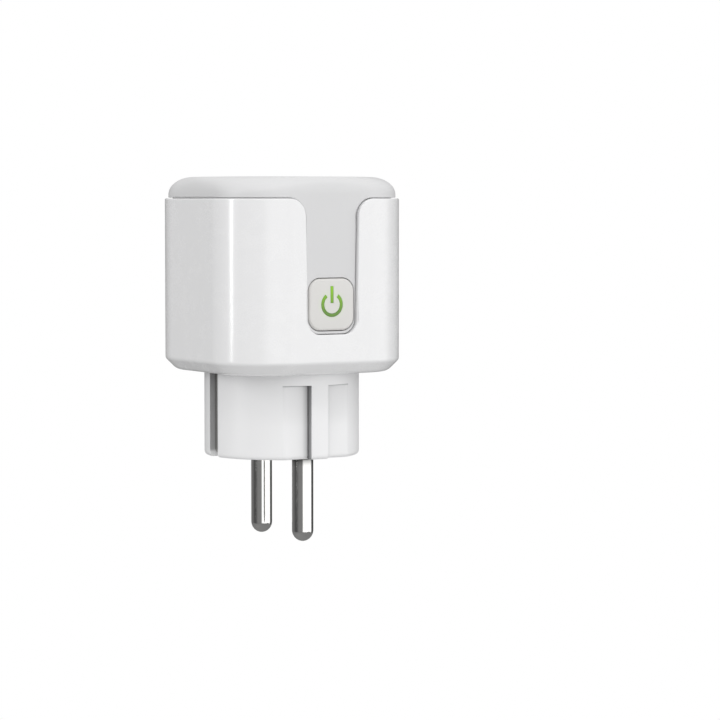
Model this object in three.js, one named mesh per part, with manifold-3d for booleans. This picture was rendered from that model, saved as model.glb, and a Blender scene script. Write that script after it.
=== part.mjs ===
// A compact European smart plug: a plug with two round pins and side earth contacts below,
// a rounded square body with a lit power button on its front, and a shuttered socket on top.
// Millimetres. +Z points up out of the socket, the pins point down, and the front is -Y.
// The origin is the centre of the plug's flat face, where the pins leave it.
import * as THREE from 'three';
import { mergeVertices } from 'three/addons/utils/BufferGeometryUtils.js';
import Module from 'manifold-3d';

const wasm = await Module();
wasm.setup();

// ---------------------------------------------------------------- driving dimensions

const GAP = 0.3; // between mouldings and parts that fit into one another
const FINE_GAP = 0.12; // round the inlaid symbol
const REACH = 30; // how far a cut that only has to pass an edge runs on

// body
const BODY_WIDTH = 45.9;
const BODY_CORNER = 13.4;
const UNDERSIDE_Z = 19;
const BODY_HEIGHT = 43.5;
const CAP_BAND = 4.8; // visible height of the grey cap above the white shell
const UNDERSIDE_CHAMFER = 2.6;
const CAP_DOME = 3.9; // height over which the cap closes in to the round rim of the recess
const RIM_WIDTH = 0.6; // the flat ring round the recess
const SHELL_WALL = 1.5;
const SHELL_FLOOR = 2;
const SHELL_PROUD = 0.8; // how far the shell stands out past the cap and the grey strips

// the slot in the shell, front and back, that the grey strips fill
const SLOT_WIDTH_TOP = 13.3;
const SLOT_WIDTH_FOOT = 12.4;
const SLOT_FOOT_Z = 27.9;
const SLOT_FLARE = 4;
const SLOT_FOOT_CORNER = 3.2;

// socket housing
const SLEEVE_WALL = 1.3;
const RECESS_RADIUS = 19.5;
const RECESS_DEPTH = 17.5;
const RECESS_WALL = 1.2;
const LEDGE_INSET = 1.5;
const LEDGE_HEIGHT = 1.5;
const CAP_PLATE = 4;
const VENT_RADIUS = 0.45;
const VENT_PITCH = 2.3;
const VENT_COUNT = 5;
const VENT_BOW = 1.1; // how far the row of vents curves

// plug
const COLLAR_RADIUS = 17.5;
const COLLAR_WALL = 1.5;
const FLANGE_WIDTH = 1.8;
const FLANGE_HEIGHT = 1.3;
const FLAT_DEPTH = 1.94; // from the collar's round side to the guide flats
const FLAT_HEIGHT = 16.4;
const FLAT_WALL = 1.26;
const POCKET_WALL = 1.2; // round each leg of the earth strip
const RIB_WIDTH = 4.2;
const SIDE_SLOT_WIDTH = 3.5;
const FACE_RIM = 1;
const FACE_THICKNESS = 3;
const BOSS_RADIUS = 4.2;
const BOSS_HEIGHT = 5;
const PIN_RADIUS = 2.4;
const PIN_LENGTH = 19;
const PIN_SPACING = 19;
const PIN_HEAD_RADIUS = 3.4;
const PIN_HEAD = 1.5;
const PIN_STUB_RADIUS = 1.6;
const EARTH_HOLE_OFFSET = 10;
const EARTH_TUBE_RADIUS = 2.8;
const EARTH_TUBE_WALL = 0.4;
const EARTH_TUBE_DEPTH = 14;
const EARTH_METAL = 0.8;
const EARTH_WIDTH = 5.4;
const EARTH_EYE_WIDTH = 7.9;
const EARTH_EYE_LENGTH = 6;
const EARTH_SINK = 0.5; // the strip lies this deep in the face
const EARTH_LINK_WIDTH = 4;
const EARTH_LINK_FOOT = 3;

// socket works
const INSERT_THICKNESS = 2.2;
const PIN_HOLE_RADIUS = 2.9;
const GUIDE_INNER = 16.1;
const GUIDE_SLOT = 5.2;
const GUIDE_WIDTH = 5.1;
const SHUTTER_THICKNESS = 2.7;
const SHUTTER_LENGTH = 27.8;
const SHUTTER_WIDTH = 6.6;
const SHUTTER_OVERLAP = 3.6; // how far the shutter reaches past the pin line on its thin side
const SHUTTER_RAMP_FOOT = 0.8;
const SHUTTER_TRAVEL = 6.3;
const SPRING_RADIUS = 0.95;
const SPRING_WIRE = 0.2;
const SPRING_TURNS = 7;
const SPRING_LENGTH = 9.8;
const CARRIER_RADIUS = 17.5;
const CARRIER_PLATE = 2.2;
const WELL_WIDTH = 10.2;
const WELL_WALL = 1.3;
const CONTACT_METAL = 0.7;
const CONTACT_DROP = 0.5; // from the carrier's plate down to the contacts
const EARTH_ARM_WIDTH = 6;
const EARTH_ARM_METAL = 0.7;
const EARTH_ARM_X = 18.6;
const EARTH_STRAP_WIDTH = 5;
const SCREW_PLACE = 9.5;
const SCREW_RADIUS = 1;
const SCREW_HEAD_RADIUS = 2.2;
const SCREW_HEAD = 1.3;
const SCREW_SLOT = 0.6;
const SCREW_COVER = 1; // moulding left above each screw
const SPRING_POST = [1.6, 4];
const FUNNEL = 0.8; // widening at the mouth of each pin hole

// button
const BUTTON_WIDTH = 11.4;
const BUTTON_CORNER = 2.9;
const BUTTON_Z = 34.5;
const BUTTON_PROUD = 0.45; // past the grey strip
const BUTTON_FLANGE = 13;
const BUTTON_FLANGE_DEPTH = 0.95;
const BUTTON_WALL = 1.1;
const BUTTON_TRAVEL = 0.6;
const SYMBOL_RADIUS = 2.35;
const SYMBOL_STROKE = 0.7;
const SYMBOL_OPENING = THREE.MathUtils.degToRad(36);
const SYMBOL_BAR = [0.35, 4];
const GUIDE_PLATE = 8.4;
const GUIDE_PLATE_DEPTH = 1;

const GUIDE_PLATE_CORNER = 0.8;
const PUSHER_HEIGHT = 2.8;
const SWITCH_WIDTH = 5.2;
const SWITCH_DEPTH = 1.1;
const PLUNGER_RADIUS = 1.3;
const PLUNGER_LENGTH = 1.1;
const LED_SIZE = [1.8, 0.7, 1.2];
const LED_RISE = 4; // above the button's middle

// boards and metal bars
const BOARD_THICKNESS = 1.4;
const BOARD_MARGIN = 1.65; // from the board's edge to the housing's inner wall
const BOARD_CORNER = 8;
const SMALL_BOARD = 0.8;
const SWITCH_BOARD_WIDTH = 14;
const WIFI_BOARD_WIDTH = 18;
const WIFI_BOARD_MARGIN = 2.5; // from the board's back to the housing's inner wall
const SHIELD_WIDTH = 11;
const SHIELD_HEIGHT = 9;
const SHIELD_DEPTH = 1;
const BUSBAR = 0.6;
const BUSBAR_WIDTH = 4;
const LINE_BUSBAR_LENGTH = 13;
const LOAD_BUSBAR_LENGTH = 10.5;
const LOAD_BUSBAR_WIDTH = 2;
const SHUNT_LENGTH = 8;
const SHUNT_HEIGHT = 2.6;
const SHUNT_WIDTH = 3;

// the switching relay, beside the contact wells
const RELAY_PLACE = [12.1, 0];
const RELAY_SIZE = [11, 20, 10];
const RELAY_WALL = 0.7;
const RELAY_BASE = 1;
const YOKE_METAL = 0.8;
const YOKE_WIDTH = 5.2;
const COIL_RADIUS = 2.9;
const COIL_LENGTH = 10.5;
const COIL_FLANGE = 0.8;
const COIL_LIP = 0.5; // from the winding out to the bobbin's edge
const ARMATURE_METAL = 0.9;
const ARMATURE_AWAY = 1.05; // from the coil at rest
const RELAY_CONTACT_RADIUS = 0.8;
const RELAY_CONTACT_DEPTH = 0.4;
const RELAY_CONTACT_GAP = 0.45;
const RELAY_POST = [1.8, 0.8];

// the other parts that stand on the main board
const CORE_PLACE = [-10.3, 0];
const CORE_SIZE = [6.8, 10, 9.8];
const CORE_WINDOW = [1.9, 3.6];
const CORE_YOKE = 1.6;
const WINDING_PROUD = 1.2;
const BULK_CAPACITOR = { place: [-12.5, 12], radius: 4, height: 10 };
const OUTPUT_CAPACITOR = { place: [-10.4, -10.4], radius: 2.5, height: 8.5 };
const VARISTOR = { place: [11, 13.8], radius: 4.6, thickness: 3.2 };
const RESISTOR = { place: [11.8, -13.2], radius: 1.7, length: 9.2 };

// ---------------------------------------------------------------- sizes that follow from those

const HALF = BODY_WIDTH / 2;
const TOP_Z = UNDERSIDE_Z + BODY_HEIGHT;
const SEAM_Z = TOP_Z - CAP_BAND;
const FLOOR_TOP_Z = UNDERSIDE_Z + SHELL_FLOOR;
const CAP_HALF = HALF - SHELL_PROUD;
const SLEEVE_HALF = HALF - SHELL_WALL - GAP;
const INNER_HALF = SLEEVE_HALF - SLEEVE_WALL;
const SOCKET_FLOOR_Z = TOP_Z - RECESS_DEPTH;
const INSERT_FOOT_Z = SOCKET_FLOOR_Z - INSERT_THICKNESS;
const LEDGE_TOP_Z = INSERT_FOOT_Z - GAP;
const LEDGE_FOOT_Z = LEDGE_TOP_Z - LEDGE_HEIGHT;
const SHUTTER_TOP_Z = INSERT_FOOT_Z - GAP;
const SHUTTER_FOOT_Z = SHUTTER_TOP_Z - SHUTTER_THICKNESS;
const CARRIER_TOP_Z = SHUTTER_FOOT_Z - GAP;
const CARRIER_FOOT_Z = CARRIER_TOP_Z - CARRIER_PLATE;
const FLANGE_FOOT_Z = FLOOR_TOP_Z + GAP;
const FLANGE_TOP_Z = FLANGE_FOOT_Z + FLANGE_HEIGHT;
const BOARD_FOOT_Z = FLANGE_TOP_Z + GAP;
const BOARD_TOP_Z = BOARD_FOOT_Z + BOARD_THICKNESS;
const PARTS_Z = BOARD_TOP_Z + GAP;
const WELL_FOOT_Z = PARTS_Z + BUSBAR + GAP;
const FLAT_Y = COLLAR_RADIUS - FLAT_DEPTH;
const PIN_Y = PIN_SPACING / 2;
const EARTH_X = COLLAR_RADIUS - FACE_RIM - GAP - EARTH_METAL / 2;
const STRAP_Z = CARRIER_FOOT_Z - GAP - EARTH_METAL / 2;
const BUTTON_FACE_Y = -(CAP_HALF + BUTTON_PROUD);
const BUTTON_FLANGE_Y = -(INNER_HALF - GAP);
const BUTTON_BACK_Y = BUTTON_FLANGE_Y + BUTTON_FLANGE_DEPTH;
const LIGHT_GUIDE_Y = BUTTON_FACE_Y + BUTTON_WALL + GAP;
const BUTTON_ROOM = GUIDE_PLATE / 2 + GAP;
const PLUNGER_TOP_Y = BUTTON_BACK_Y + GAP;
const SWITCH_FACE_Y = PLUNGER_TOP_Y + BUTTON_TRAVEL + GAP;
const SWITCH_BACK_Y = SWITCH_FACE_Y + SWITCH_DEPTH;
const SWITCH_BOARD_Y = SWITCH_BACK_Y + GAP;
const SMALL_BOARD_Z = [WELL_FOOT_Z, LEDGE_FOOT_Z - GAP];

// ---------------------------------------------------------------- shape helpers

// A closed three.js geometry as a solid.
function solid(geometry) {
  const loose = geometry.index ? geometry.toNonIndexed() : geometry;
  const bare = new THREE.BufferGeometry().setAttribute('position', loose.getAttribute('position'));
  const merged = mergeVertices(bare, 1e-4);
  return new wasm.Manifold(new wasm.Mesh({
    numProp: 3,
    vertProperties: merged.attributes.position.array,
    triVerts: new Uint32Array(merged.index.array),
  }));
}

function block([x0, x1], [y0, y1], [z0, z1]) {
  const box = new THREE.BoxGeometry(x1 - x0, y1 - y0, z1 - z0);
  return solid(box.translate((x0 + x1) / 2, (y0 + y1) / 2, (z0 + z1) / 2));
}

// An upright round rod over a height range.
function rod(radius, [z0, z1], [x, y] = [0, 0], sides = 64) {
  const cylinder = new THREE.CylinderGeometry(radius, radius, z1 - z0, sides);
  return solid(cylinder.rotateX(Math.PI / 2).translate(x, y, (z0 + z1) / 2));
}

// A round rod that lies along Y.
function rodAlongY(radius, [y0, y1], [x, z], sides = 24) {
  const cylinder = new THREE.CylinderGeometry(radius, radius, y1 - y0, sides);
  return solid(cylinder.translate(x, (y0 + y1) / 2, z));
}

// A turned solid: [radius, z] points from the axis at the foot to the axis at the top.
function turned(profile, [x, y], sides = 28) {
  const points = profile.map(([r, z]) => new THREE.Vector2(r, z));
  return solid(new THREE.LatheGeometry(points, sides).rotateX(Math.PI / 2).translate(x, y, 0));
}

function roundedSquare(half, corner) {
  const flat = half - corner;
  const shape = new THREE.Shape();
  shape.moveTo(half, -flat);
  shape.absarc(flat, flat, corner, 0, Math.PI / 2);
  shape.absarc(-flat, flat, corner, Math.PI / 2, Math.PI);
  shape.absarc(-flat, -flat, corner, Math.PI, 1.5 * Math.PI);
  shape.absarc(flat, -flat, corner, 1.5 * Math.PI, 2 * Math.PI);
  return shape;
}

// An outline pulled up from z0 to z1.
function prism(shape, [z0, z1], curveSegments = 10) {
  const geometry = new THREE.ExtrudeGeometry(shape, { depth: z1 - z0, bevelEnabled: false, curveSegments });
  return solid(geometry.translate(0, 0, z0));
}

// A prism with a chamfer round both its ends.
function chamferedPrism(shape, [z0, z1], chamfer) {
  const geometry = new THREE.ExtrudeGeometry(shape, {
    depth: z1 - z0 - 2 * chamfer,
    bevelThickness: chamfer,
    bevelSize: chamfer,
    bevelOffset: -chamfer,
    bevelSegments: 1,
    curveSegments: 12,
  });
  return solid(geometry.translate(0, 0, z0 + chamfer));
}

// An outline drawn in x and z, given depth along Y.
function slab(shape, [y0, y1], curveSegments = 8) {
  const geometry = new THREE.ExtrudeGeometry(shape, { depth: y1 - y0, bevelEnabled: false, curveSegments });
  return solid(geometry.rotateX(Math.PI / 2).translate(0, y1, 0));
}

// The outline of a bent strip: a centre line with half the metal on either side, mitred at each bend.
function stripOutline(line, metal) {
  const points = line.map(([a, b]) => new THREE.Vector2(a, b));
  const normals = points.slice(1).map((p, i) => {
    const along = p.clone().sub(points[i]).normalize();
    return new THREE.Vector2(-along.y, along.x);
  });
  const offsets = points.map((p, i) => {
    const before = normals[Math.max(i - 1, 0)];
    const after = normals[Math.min(i, normals.length - 1)];
    const middle = before.clone().add(after).normalize();
    return middle.multiplyScalar(metal / 2 / middle.dot(after));
  });
  const left = points.map((p, i) => p.clone().add(offsets[i]));
  const right = points.map((p, i) => p.clone().sub(offsets[i])).reverse();
  return new THREE.Shape([...left, ...right]);
}

// A bent strip drawn in x and z.
function bentStrip(line, metal, y) {
  return slab(stripOutline(line, metal), y);
}

// The range of a given width round a middle.
const around = (middle, width) => [middle - width / 2, middle + width / 2];

// Two mirrored ranges along an axis: [a, b] and [-b, -a].
const bothSides = ([a, b]) => [[a, b], [-b, -a]];

const join = (...parts) => parts.reduce((whole, part) => whole.add(part));

function cut(whole, ...parts) {
  return parts.reduce((rest, part) => rest.subtract(part), whole);
}

// ---------------------------------------------------------------- materials

function finish(color, roughness, metalness = 0) {
  return new THREE.MeshStandardMaterial({ color, roughness, metalness });
}

const WHITE = finish(0xf3f3f2, 0.32);
const GREY = finish(0xd6d6d7, 0.42);
const BUTTON_WHITE = finish(0xecebe9, 0.35);
const GREEN = finish(0x62ad2a, 0.3);
const NICKEL = finish(0xcfcfcc, 0.18, 1);
const BRASS = finish(0xc9a24f, 0.3, 1);
const NYLON = finish(0xe6e2d6, 0.55);
const BOARD_GREEN = finish(0x1f5d3a, 0.5);
const BLACK = finish(0x1b1b1c, 0.45);
const RELAY_BLUE = finish(0x2c63a8, 0.4);
const COPPER = finish(0xb6683a, 0.35, 1);
const STEEL = finish(0xa8a9ab, 0.35, 1);
const FERRITE = finish(0x3b3b3d, 0.7);
const TAPE = finish(0xd9b94a, 0.5);

const plug = new THREE.Group();

// Adds a solid as one named mesh.
function add(name, body, material) {
  const made = body.getMesh();
  const geometry = new THREE.BufferGeometry();
  geometry.setAttribute('position', new THREE.BufferAttribute(new Float32Array(made.vertProperties), 3));
  geometry.setIndex(new THREE.BufferAttribute(new Uint32Array(made.triVerts), 1));
  geometry.computeVertexNormals();
  const mesh = new THREE.Mesh(geometry, material);
  mesh.name = name;
  plug.add(mesh);
}

// ---------------------------------------------------------------- outer shell

// The U-shaped slot, drawn in x and z, drawn in by inset on every side; it runs up to topZ.
function slotShape(inset, topZ) {
  const top = SLOT_WIDTH_TOP / 2 - inset;
  const foot = SLOT_WIDTH_FOOT / 2 - inset;
  const footZ = SLOT_FOOT_Z + inset;
  const flareZ = SEAM_Z - SLOT_FLARE;
  const flareX = SLOT_WIDTH_TOP / 2 + SLOT_FLARE;
  const flare = SLOT_FLARE + inset;
  const corner = SLOT_FOOT_CORNER - inset;
  const shape = new THREE.Shape();
  shape.moveTo(-flareX, topZ);
  shape.lineTo(-flareX, flareZ + flare);
  shape.absarc(-flareX, flareZ, flare, Math.PI / 2, 0, true);
  shape.lineTo(-foot, footZ + corner);
  shape.absarc(-foot + corner, footZ + corner, corner, Math.PI, 1.5 * Math.PI);
  shape.absarc(foot - corner, footZ + corner, corner, 1.5 * Math.PI, 2 * Math.PI);
  shape.lineTo(top, flareZ);
  shape.absarc(flareX, flareZ, flare, Math.PI, Math.PI / 2, true);
  shape.lineTo(flareX, topZ);
  return shape;
}

// The white shell: a rounded square cup with a round hole in its floor for the plug.
function outerShell() {
  const outline = roundedSquare(HALF, BODY_CORNER);
  const innerOutline = roundedSquare(HALF - SHELL_WALL, BODY_CORNER - SHELL_WALL);
  const outside = chamferedPrism(outline, [UNDERSIDE_Z, SEAM_Z + REACH], UNDERSIDE_CHAMFER);
  const inside = prism(innerOutline, [FLOOR_TOP_Z, SEAM_Z + REACH]);
  const above = block([-REACH, REACH], [-REACH, REACH], [SEAM_Z, SEAM_Z + 2 * REACH]);
  const plugHole = rod(COLLAR_RADIUS + GAP, [UNDERSIDE_Z - 1, FLOOR_TOP_Z + 1]);
  const slot = slab(slotShape(0, SEAM_Z + 1), [-REACH, -(INNER_HALF - 1)]);
  return cut(outside, inside, above, plugHole, slot, slot.rotate([0, 0, 180]));
}

add('outer_shell', outerShell(), WHITE);

// ---------------------------------------------------------------- socket housing

const SLEEVE_CORNER = BODY_CORNER - SHELL_WALL - GAP;
const INNER_CORNER = SLEEVE_CORNER - SLEEVE_WALL;
const CAP_CORNER = BODY_CORNER - SHELL_PROUD;

// The raised strip that fills the shell's slot, front and back.
function strips() {
  const face = prism(roundedSquare(CAP_HALF, CAP_CORNER), [SLOT_FOOT_Z, TOP_Z - CAP_DOME]);
  const strip = slab(slotShape(GAP, SEAM_Z + 1), [-REACH, -(INNER_HALF + GAP)]);
  return join(strip, strip.rotate([0, 0, 180])).intersect(face);
}

// The two pairs of guide pads on the recess wall, which fit a plug's side flats.
function guidePads() {
  const z = [SOCKET_FLOOR_Z + GAP, TOP_Z - 1.2];
  const x = [GUIDE_SLOT / 2, GUIDE_SLOT / 2 + GUIDE_WIDTH];
  const y = [GUIDE_INNER, RECESS_RADIUS + 1];
  const pads = bothSides(x).flatMap((xs) => bothSides(y).map((ys) => block(xs, ys, z)));
  return join(...pads).intersect(rod(RECESS_RADIUS + RECESS_WALL / 2, z));
}

// The row of small vents low in the back strip.
function vents() {
  const middle = (VENT_COUNT - 1) / 2;
  const holes = [];
  for (let i = 0; i < VENT_COUNT; i++) {
    const away = (i - middle) / middle;
    const z = BUTTON_Z + VENT_BOW * (1 - away * away);
    holes.push(rodAlongY(VENT_RADIUS, [INNER_HALF - 1, HALF + 1], [(i - middle) * VENT_PITCH, z], 10));
  }
  return join(...holes);
}

// The cap: a rounded square band that closes in, over its top, to the round rim of the recess.
function cap() {
  const outline = roundedSquare(CAP_HALF, CAP_CORNER).getSpacedPoints(80);
  const levels = [[0, SEAM_Z + GAP]];
  const steps = 6;
  for (let i = 0; i <= steps; i++) {
    const turn = (i / steps) * Math.PI / 2;
    levels.push([1 - Math.cos(turn), TOP_Z - CAP_DOME * (1 - Math.sin(turn))]);
  }
  const points = levels.flatMap(([share, z]) => outline.map((point) => {
    const rim = point.clone().setLength(RECESS_RADIUS + RIM_WIDTH);
    const { x, y } = point.clone().lerp(rim, share);
    return [x, y, z];
  }));
  return wasm.Manifold.hull(points);
}

function socketHousing() {
  const sleeve = prism(roundedSquare(SLEEVE_HALF, SLEEVE_CORNER), [FLOOR_TOP_Z + 2 * GAP, TOP_Z - CAP_PLATE]);
  const inner = roundedSquare(INNER_HALF, INNER_CORNER);
  const tube = rod(RECESS_RADIUS + RECESS_WALL, [LEDGE_FOOT_Z, TOP_Z], [0, 0], 72);
  const lower = prism(inner, [FLOOR_TOP_Z, LEDGE_FOOT_Z]);
  const corners = prism(inner, [LEDGE_FOOT_Z - 1, TOP_Z - CAP_PLATE]).subtract(tube);
  const recess = rod(RECESS_RADIUS, [LEDGE_TOP_Z, TOP_Z + 1], [0, 0], 72);
  const ledgeHole = rod(RECESS_RADIUS - LEDGE_INSET, [LEDGE_FOOT_Z - 1, TOP_Z], [0, 0], 72);
  const half = BUTTON_WIDTH / 2 + GAP;
  const buttonHole = block([-half, half], [-REACH, -(INNER_HALF - 1)], [BUTTON_Z - half, BUTTON_Z + half]);
  const armY = EARTH_ARM_WIDTH / 2 + 2 * GAP;
  const armSlots = bothSides([EARTH_ARM_X - 1.1, RECESS_RADIUS + 0.1]).map((xs) =>
    block(xs, [-armY, armY], [LEDGE_FOOT_Z - 1, LEDGE_TOP_Z + 1]));
  const whole = join(cap(), sleeve, strips());
  const hollow = cut(whole, lower, corners, recess, ledgeHole, buttonHole, ...armSlots);
  return hollow.add(guidePads()).subtract(vents());
}

add('socket_housing', socketHousing(), GREY);

// ---------------------------------------------------------------- recess floor and shutter

const PIN_PLACES = [[0, -PIN_Y], [0, PIN_Y]];
const SCREW_PLACES = [[-SCREW_PLACE, -SCREW_PLACE], [-SCREW_PLACE, SCREW_PLACE]];

function recessFloor() {
  const armX = EARTH_ARM_X - EARTH_ARM_METAL / 2 - 2 * GAP;
  const armY = EARTH_ARM_WIDTH / 2 + GAP;
  const disc = rod(RECESS_RADIUS - GAP, [INSERT_FOOT_Z, SOCKET_FLOOR_Z], [0, 0], 72);
  const bossZ = [CARRIER_TOP_Z + GAP, INSERT_FOOT_Z + 0.1];
  const bosses = SCREW_PLACES.map((p) => rod(2 * SCREW_RADIUS + GAP, bossZ, p, 20));
  const holeZ = [CARRIER_TOP_Z, SOCKET_FLOOR_Z - SCREW_COVER];
  const screwHoles = SCREW_PLACES.map((p) => rod(SCREW_RADIUS + GAP, holeZ, p, 16));
  const funnels = PIN_PLACES.map((p) => turned([
    [0, INSERT_FOOT_Z - 1],
    [PIN_HOLE_RADIUS, INSERT_FOOT_Z - 1],
    [PIN_HOLE_RADIUS, SOCKET_FLOOR_Z - FUNNEL],
    [PIN_HOLE_RADIUS + FUNNEL, SOCKET_FLOOR_Z],
    [PIN_HOLE_RADIUS + FUNNEL, SOCKET_FLOOR_Z + 1],
    [0, SOCKET_FLOOR_Z + 1],
  ], p));
  const armSlots = bothSides([armX, RECESS_RADIUS]).map((xs) =>
    block(xs, [-armY, armY], [INSERT_FOOT_Z - 1, SOCKET_FLOOR_Z + 1]));
  return cut(join(disc, ...bosses), ...screwHoles, ...funnels, ...armSlots);
}

add('recess_floor', recessFloor(), GREY);

// The child-safety shutter: a bar across both pin holes, with a ramp under each for the pins to push on.
function shutter() {
  const x = [-SHUTTER_OVERLAP, SHUTTER_WIDTH - SHUTTER_OVERLAP];
  const half = SHUTTER_LENGTH / 2;
  const ramp = new THREE.Shape([
    new THREE.Vector2(x[0] - 1, SHUTTER_FOOT_Z + SHUTTER_RAMP_FOOT),
    new THREE.Vector2(x[1] - 0.8, SHUTTER_TOP_Z),
    new THREE.Vector2(x[1] - 0.8, SHUTTER_TOP_Z + 1),
    new THREE.Vector2(x[0] - 1, SHUTTER_TOP_Z + 1),
  ]);
  const hub = PIN_Y - PIN_HOLE_RADIUS - 1;
  const bar = block(x, [-half, half], [SHUTTER_FOOT_Z, SHUTTER_TOP_Z]);
  return cut(bar, ...bothSides([hub, half + 1]).map((ys) => slab(ramp, ys)));
}

add('pin_shutter', shutter(), NYLON);

class CoilCurve extends THREE.Curve {
  getPoint(t) {
    const angle = 2 * Math.PI * SPRING_TURNS * t;
    const start = SHUTTER_WIDTH - SHUTTER_OVERLAP + GAP + SPRING_WIRE;
    const length = SPRING_LENGTH - 2 * SPRING_WIRE;
    const z = (SHUTTER_TOP_Z + SHUTTER_FOOT_Z) / 2 + SPRING_RADIUS * Math.sin(angle);
    return new THREE.Vector3(start + length * t, SPRING_RADIUS * Math.cos(angle), z);
  }
}

function shutterSpring() {
  const wire = new THREE.Shape().absarc(0, 0, SPRING_WIRE, 0, 2 * Math.PI);
  const steps = SPRING_TURNS * 10;
  return solid(new THREE.ExtrudeGeometry(wire, { extrudePath: new CoilCurve(), steps, curveSegments: 3 }));
}

add('shutter_spring', shutterSpring(), STEEL);

// ---------------------------------------------------------------- contact carrier and contacts

const WELL_Y = [PIN_Y - WELL_WIDTH / 2, PIN_Y + WELL_WIDTH / 2];

function contactCarrier() {
  const half = WELL_Y[1];
  const plate = rod(CARRIER_RADIUS, [CARRIER_FOOT_Z, CARRIER_TOP_Z]).intersect(
    block([-REACH, REACH], [-half, half], [CARRIER_FOOT_Z - 1, CARRIER_TOP_Z + 1]));
  const wells = bothSides(WELL_Y).map((ys) =>
    block([-WELL_WIDTH / 2, WELL_WIDTH / 2], ys, [WELL_FOOT_Z, CARRIER_FOOT_Z + 0.1]));
  const room = WELL_WIDTH / 2 - WELL_WALL;
  const rooms = bothSides([WELL_Y[0] + WELL_WALL, WELL_Y[1] - WELL_WALL]).map((ys) =>
    block([-room, room], ys, [WELL_FOOT_Z - 1, CARRIER_FOOT_Z]));
  const holeZ = [CARRIER_FOOT_Z - 1, CARRIER_TOP_Z + 1];
  const pinHoles = PIN_PLACES.map((p) => rod(PIN_HOLE_RADIUS, holeZ, p, 24));
  const screwHoles = SCREW_PLACES.map((p) => rod(SCREW_RADIUS + GAP, holeZ, p, 16));
  const railX = [-SHUTTER_OVERLAP - GAP, SHUTTER_WIDTH - SHUTTER_OVERLAP + SHUTTER_TRAVEL + GAP];
  const railZ = [CARRIER_TOP_Z - 0.1, SHUTTER_TOP_Z - GAP];
  const rails = bothSides([SHUTTER_LENGTH / 2 + GAP, WELL_Y[1]]).map((ys) => block(railX, ys, railZ));
  const postX = SHUTTER_WIDTH - SHUTTER_OVERLAP + SPRING_LENGTH + 2 * GAP;
  const post = block([postX, postX + SPRING_POST[0]], around(0, SPRING_POST[1]), railZ);
  return cut(join(plate, ...wells, ...rails, post), ...rooms, ...pinHoles, ...screwHoles);
}

add('contact_carrier', contactCarrier(), NYLON);

// A brass contact in plan: a back web and two jaws that pinch in and then flare at the mouth.
function pinContact() {
  const line = [
    [PIN_RADIUS + 0.55, PIN_RADIUS + 0.5],
    [PIN_RADIUS + 0.15, PIN_RADIUS / 2],
    [PIN_RADIUS + 0.65, -PIN_RADIUS / 2],
    [PIN_RADIUS + 0.65, -PIN_RADIUS - 0.8],
  ];
  const mirrored = line.map(([x, y]) => [-x, y]).reverse();
  const outline = stripOutline([...line, ...mirrored], CONTACT_METAL);
  return prism(outline, [WELL_FOOT_Z, CARRIER_FOOT_Z - CONTACT_DROP]);
}

add('line_contact', pinContact().rotate([0, 0, 180]).translate([0, -PIN_Y, 0]), BRASS);
add('neutral_contact', pinContact().translate([0, PIN_Y, 0]), BRASS);

// A cross-headed screw, put in from below.
function carrierScrew([x, y]) {
  const headZ = CARRIER_FOOT_Z - GAP;
  const head = rod(SCREW_HEAD_RADIUS, [headZ - SCREW_HEAD, headZ], [x, y], 20);
  const slotZ = [headZ - REACH, headZ - SCREW_HEAD + SCREW_SLOT];
  const slots = [
    block([-REACH, REACH], around(y, SCREW_SLOT), slotZ),
    block(around(x, SCREW_SLOT), [-REACH, REACH], slotZ),
  ];
  const shank = rod(SCREW_RADIUS, [headZ - 0.1, SOCKET_FLOOR_Z - SCREW_COVER - GAP], [x, y], 16);
  return cut(head, ...slots).add(shank);
}

SCREW_PLACES.forEach((place, i) => add(`carrier_screw_${i + 1}`, carrierScrew(place), STEEL));

// ---------------------------------------------------------------- socket earth

const ARM_FOOT_Z = SOCKET_FLOOR_Z - 0.7;

// One springy earth contact: up the recess wall, in towards the plug, and out again at its tip.
function earthArm() {
  const line = [
    [EARTH_ARM_X, ARM_FOOT_Z],
    [EARTH_ARM_X - 0.2, ARM_FOOT_Z + 2.7],
    [EARTH_ARM_X - 1.5, ARM_FOOT_Z + 8.6],
    [EARTH_ARM_X - 1.6, ARM_FOOT_Z + 10.2],
    [EARTH_ARM_X - 1.15, ARM_FOOT_Z + 13.4],
  ];
  return bentStrip(line, EARTH_ARM_METAL, [-EARTH_ARM_WIDTH / 2, EARTH_ARM_WIDTH / 2]);
}

add('earth_arm_right', earthArm(), NICKEL);
add('earth_arm_left', earthArm().rotate([0, 0, 180]), NICKEL);

function earthStrap() {
  const legTop = ARM_FOOT_Z - GAP;
  const line = [
    [-EARTH_ARM_X, legTop],
    [-EARTH_ARM_X, STRAP_Z],
    [EARTH_ARM_X, STRAP_Z],
    [EARTH_ARM_X, legTop],
  ];
  return bentStrip(line, EARTH_METAL, [-EARTH_STRAP_WIDTH / 2, EARTH_STRAP_WIDTH / 2]);
}

add('earth_strap', earthStrap(), NICKEL);

// ---------------------------------------------------------------- plug collar and face

const FACE_RADIUS = COLLAR_RADIUS - FACE_RIM - GAP;
const FACE_HALF_Y = FLAT_Y - FLAT_WALL - GAP;
const POCKET_X = [EARTH_X - EARTH_METAL / 2 - GAP, EARTH_X + EARTH_METAL / 2 + GAP];
const POCKET_Y = EARTH_WIDTH / 2 + GAP;

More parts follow.
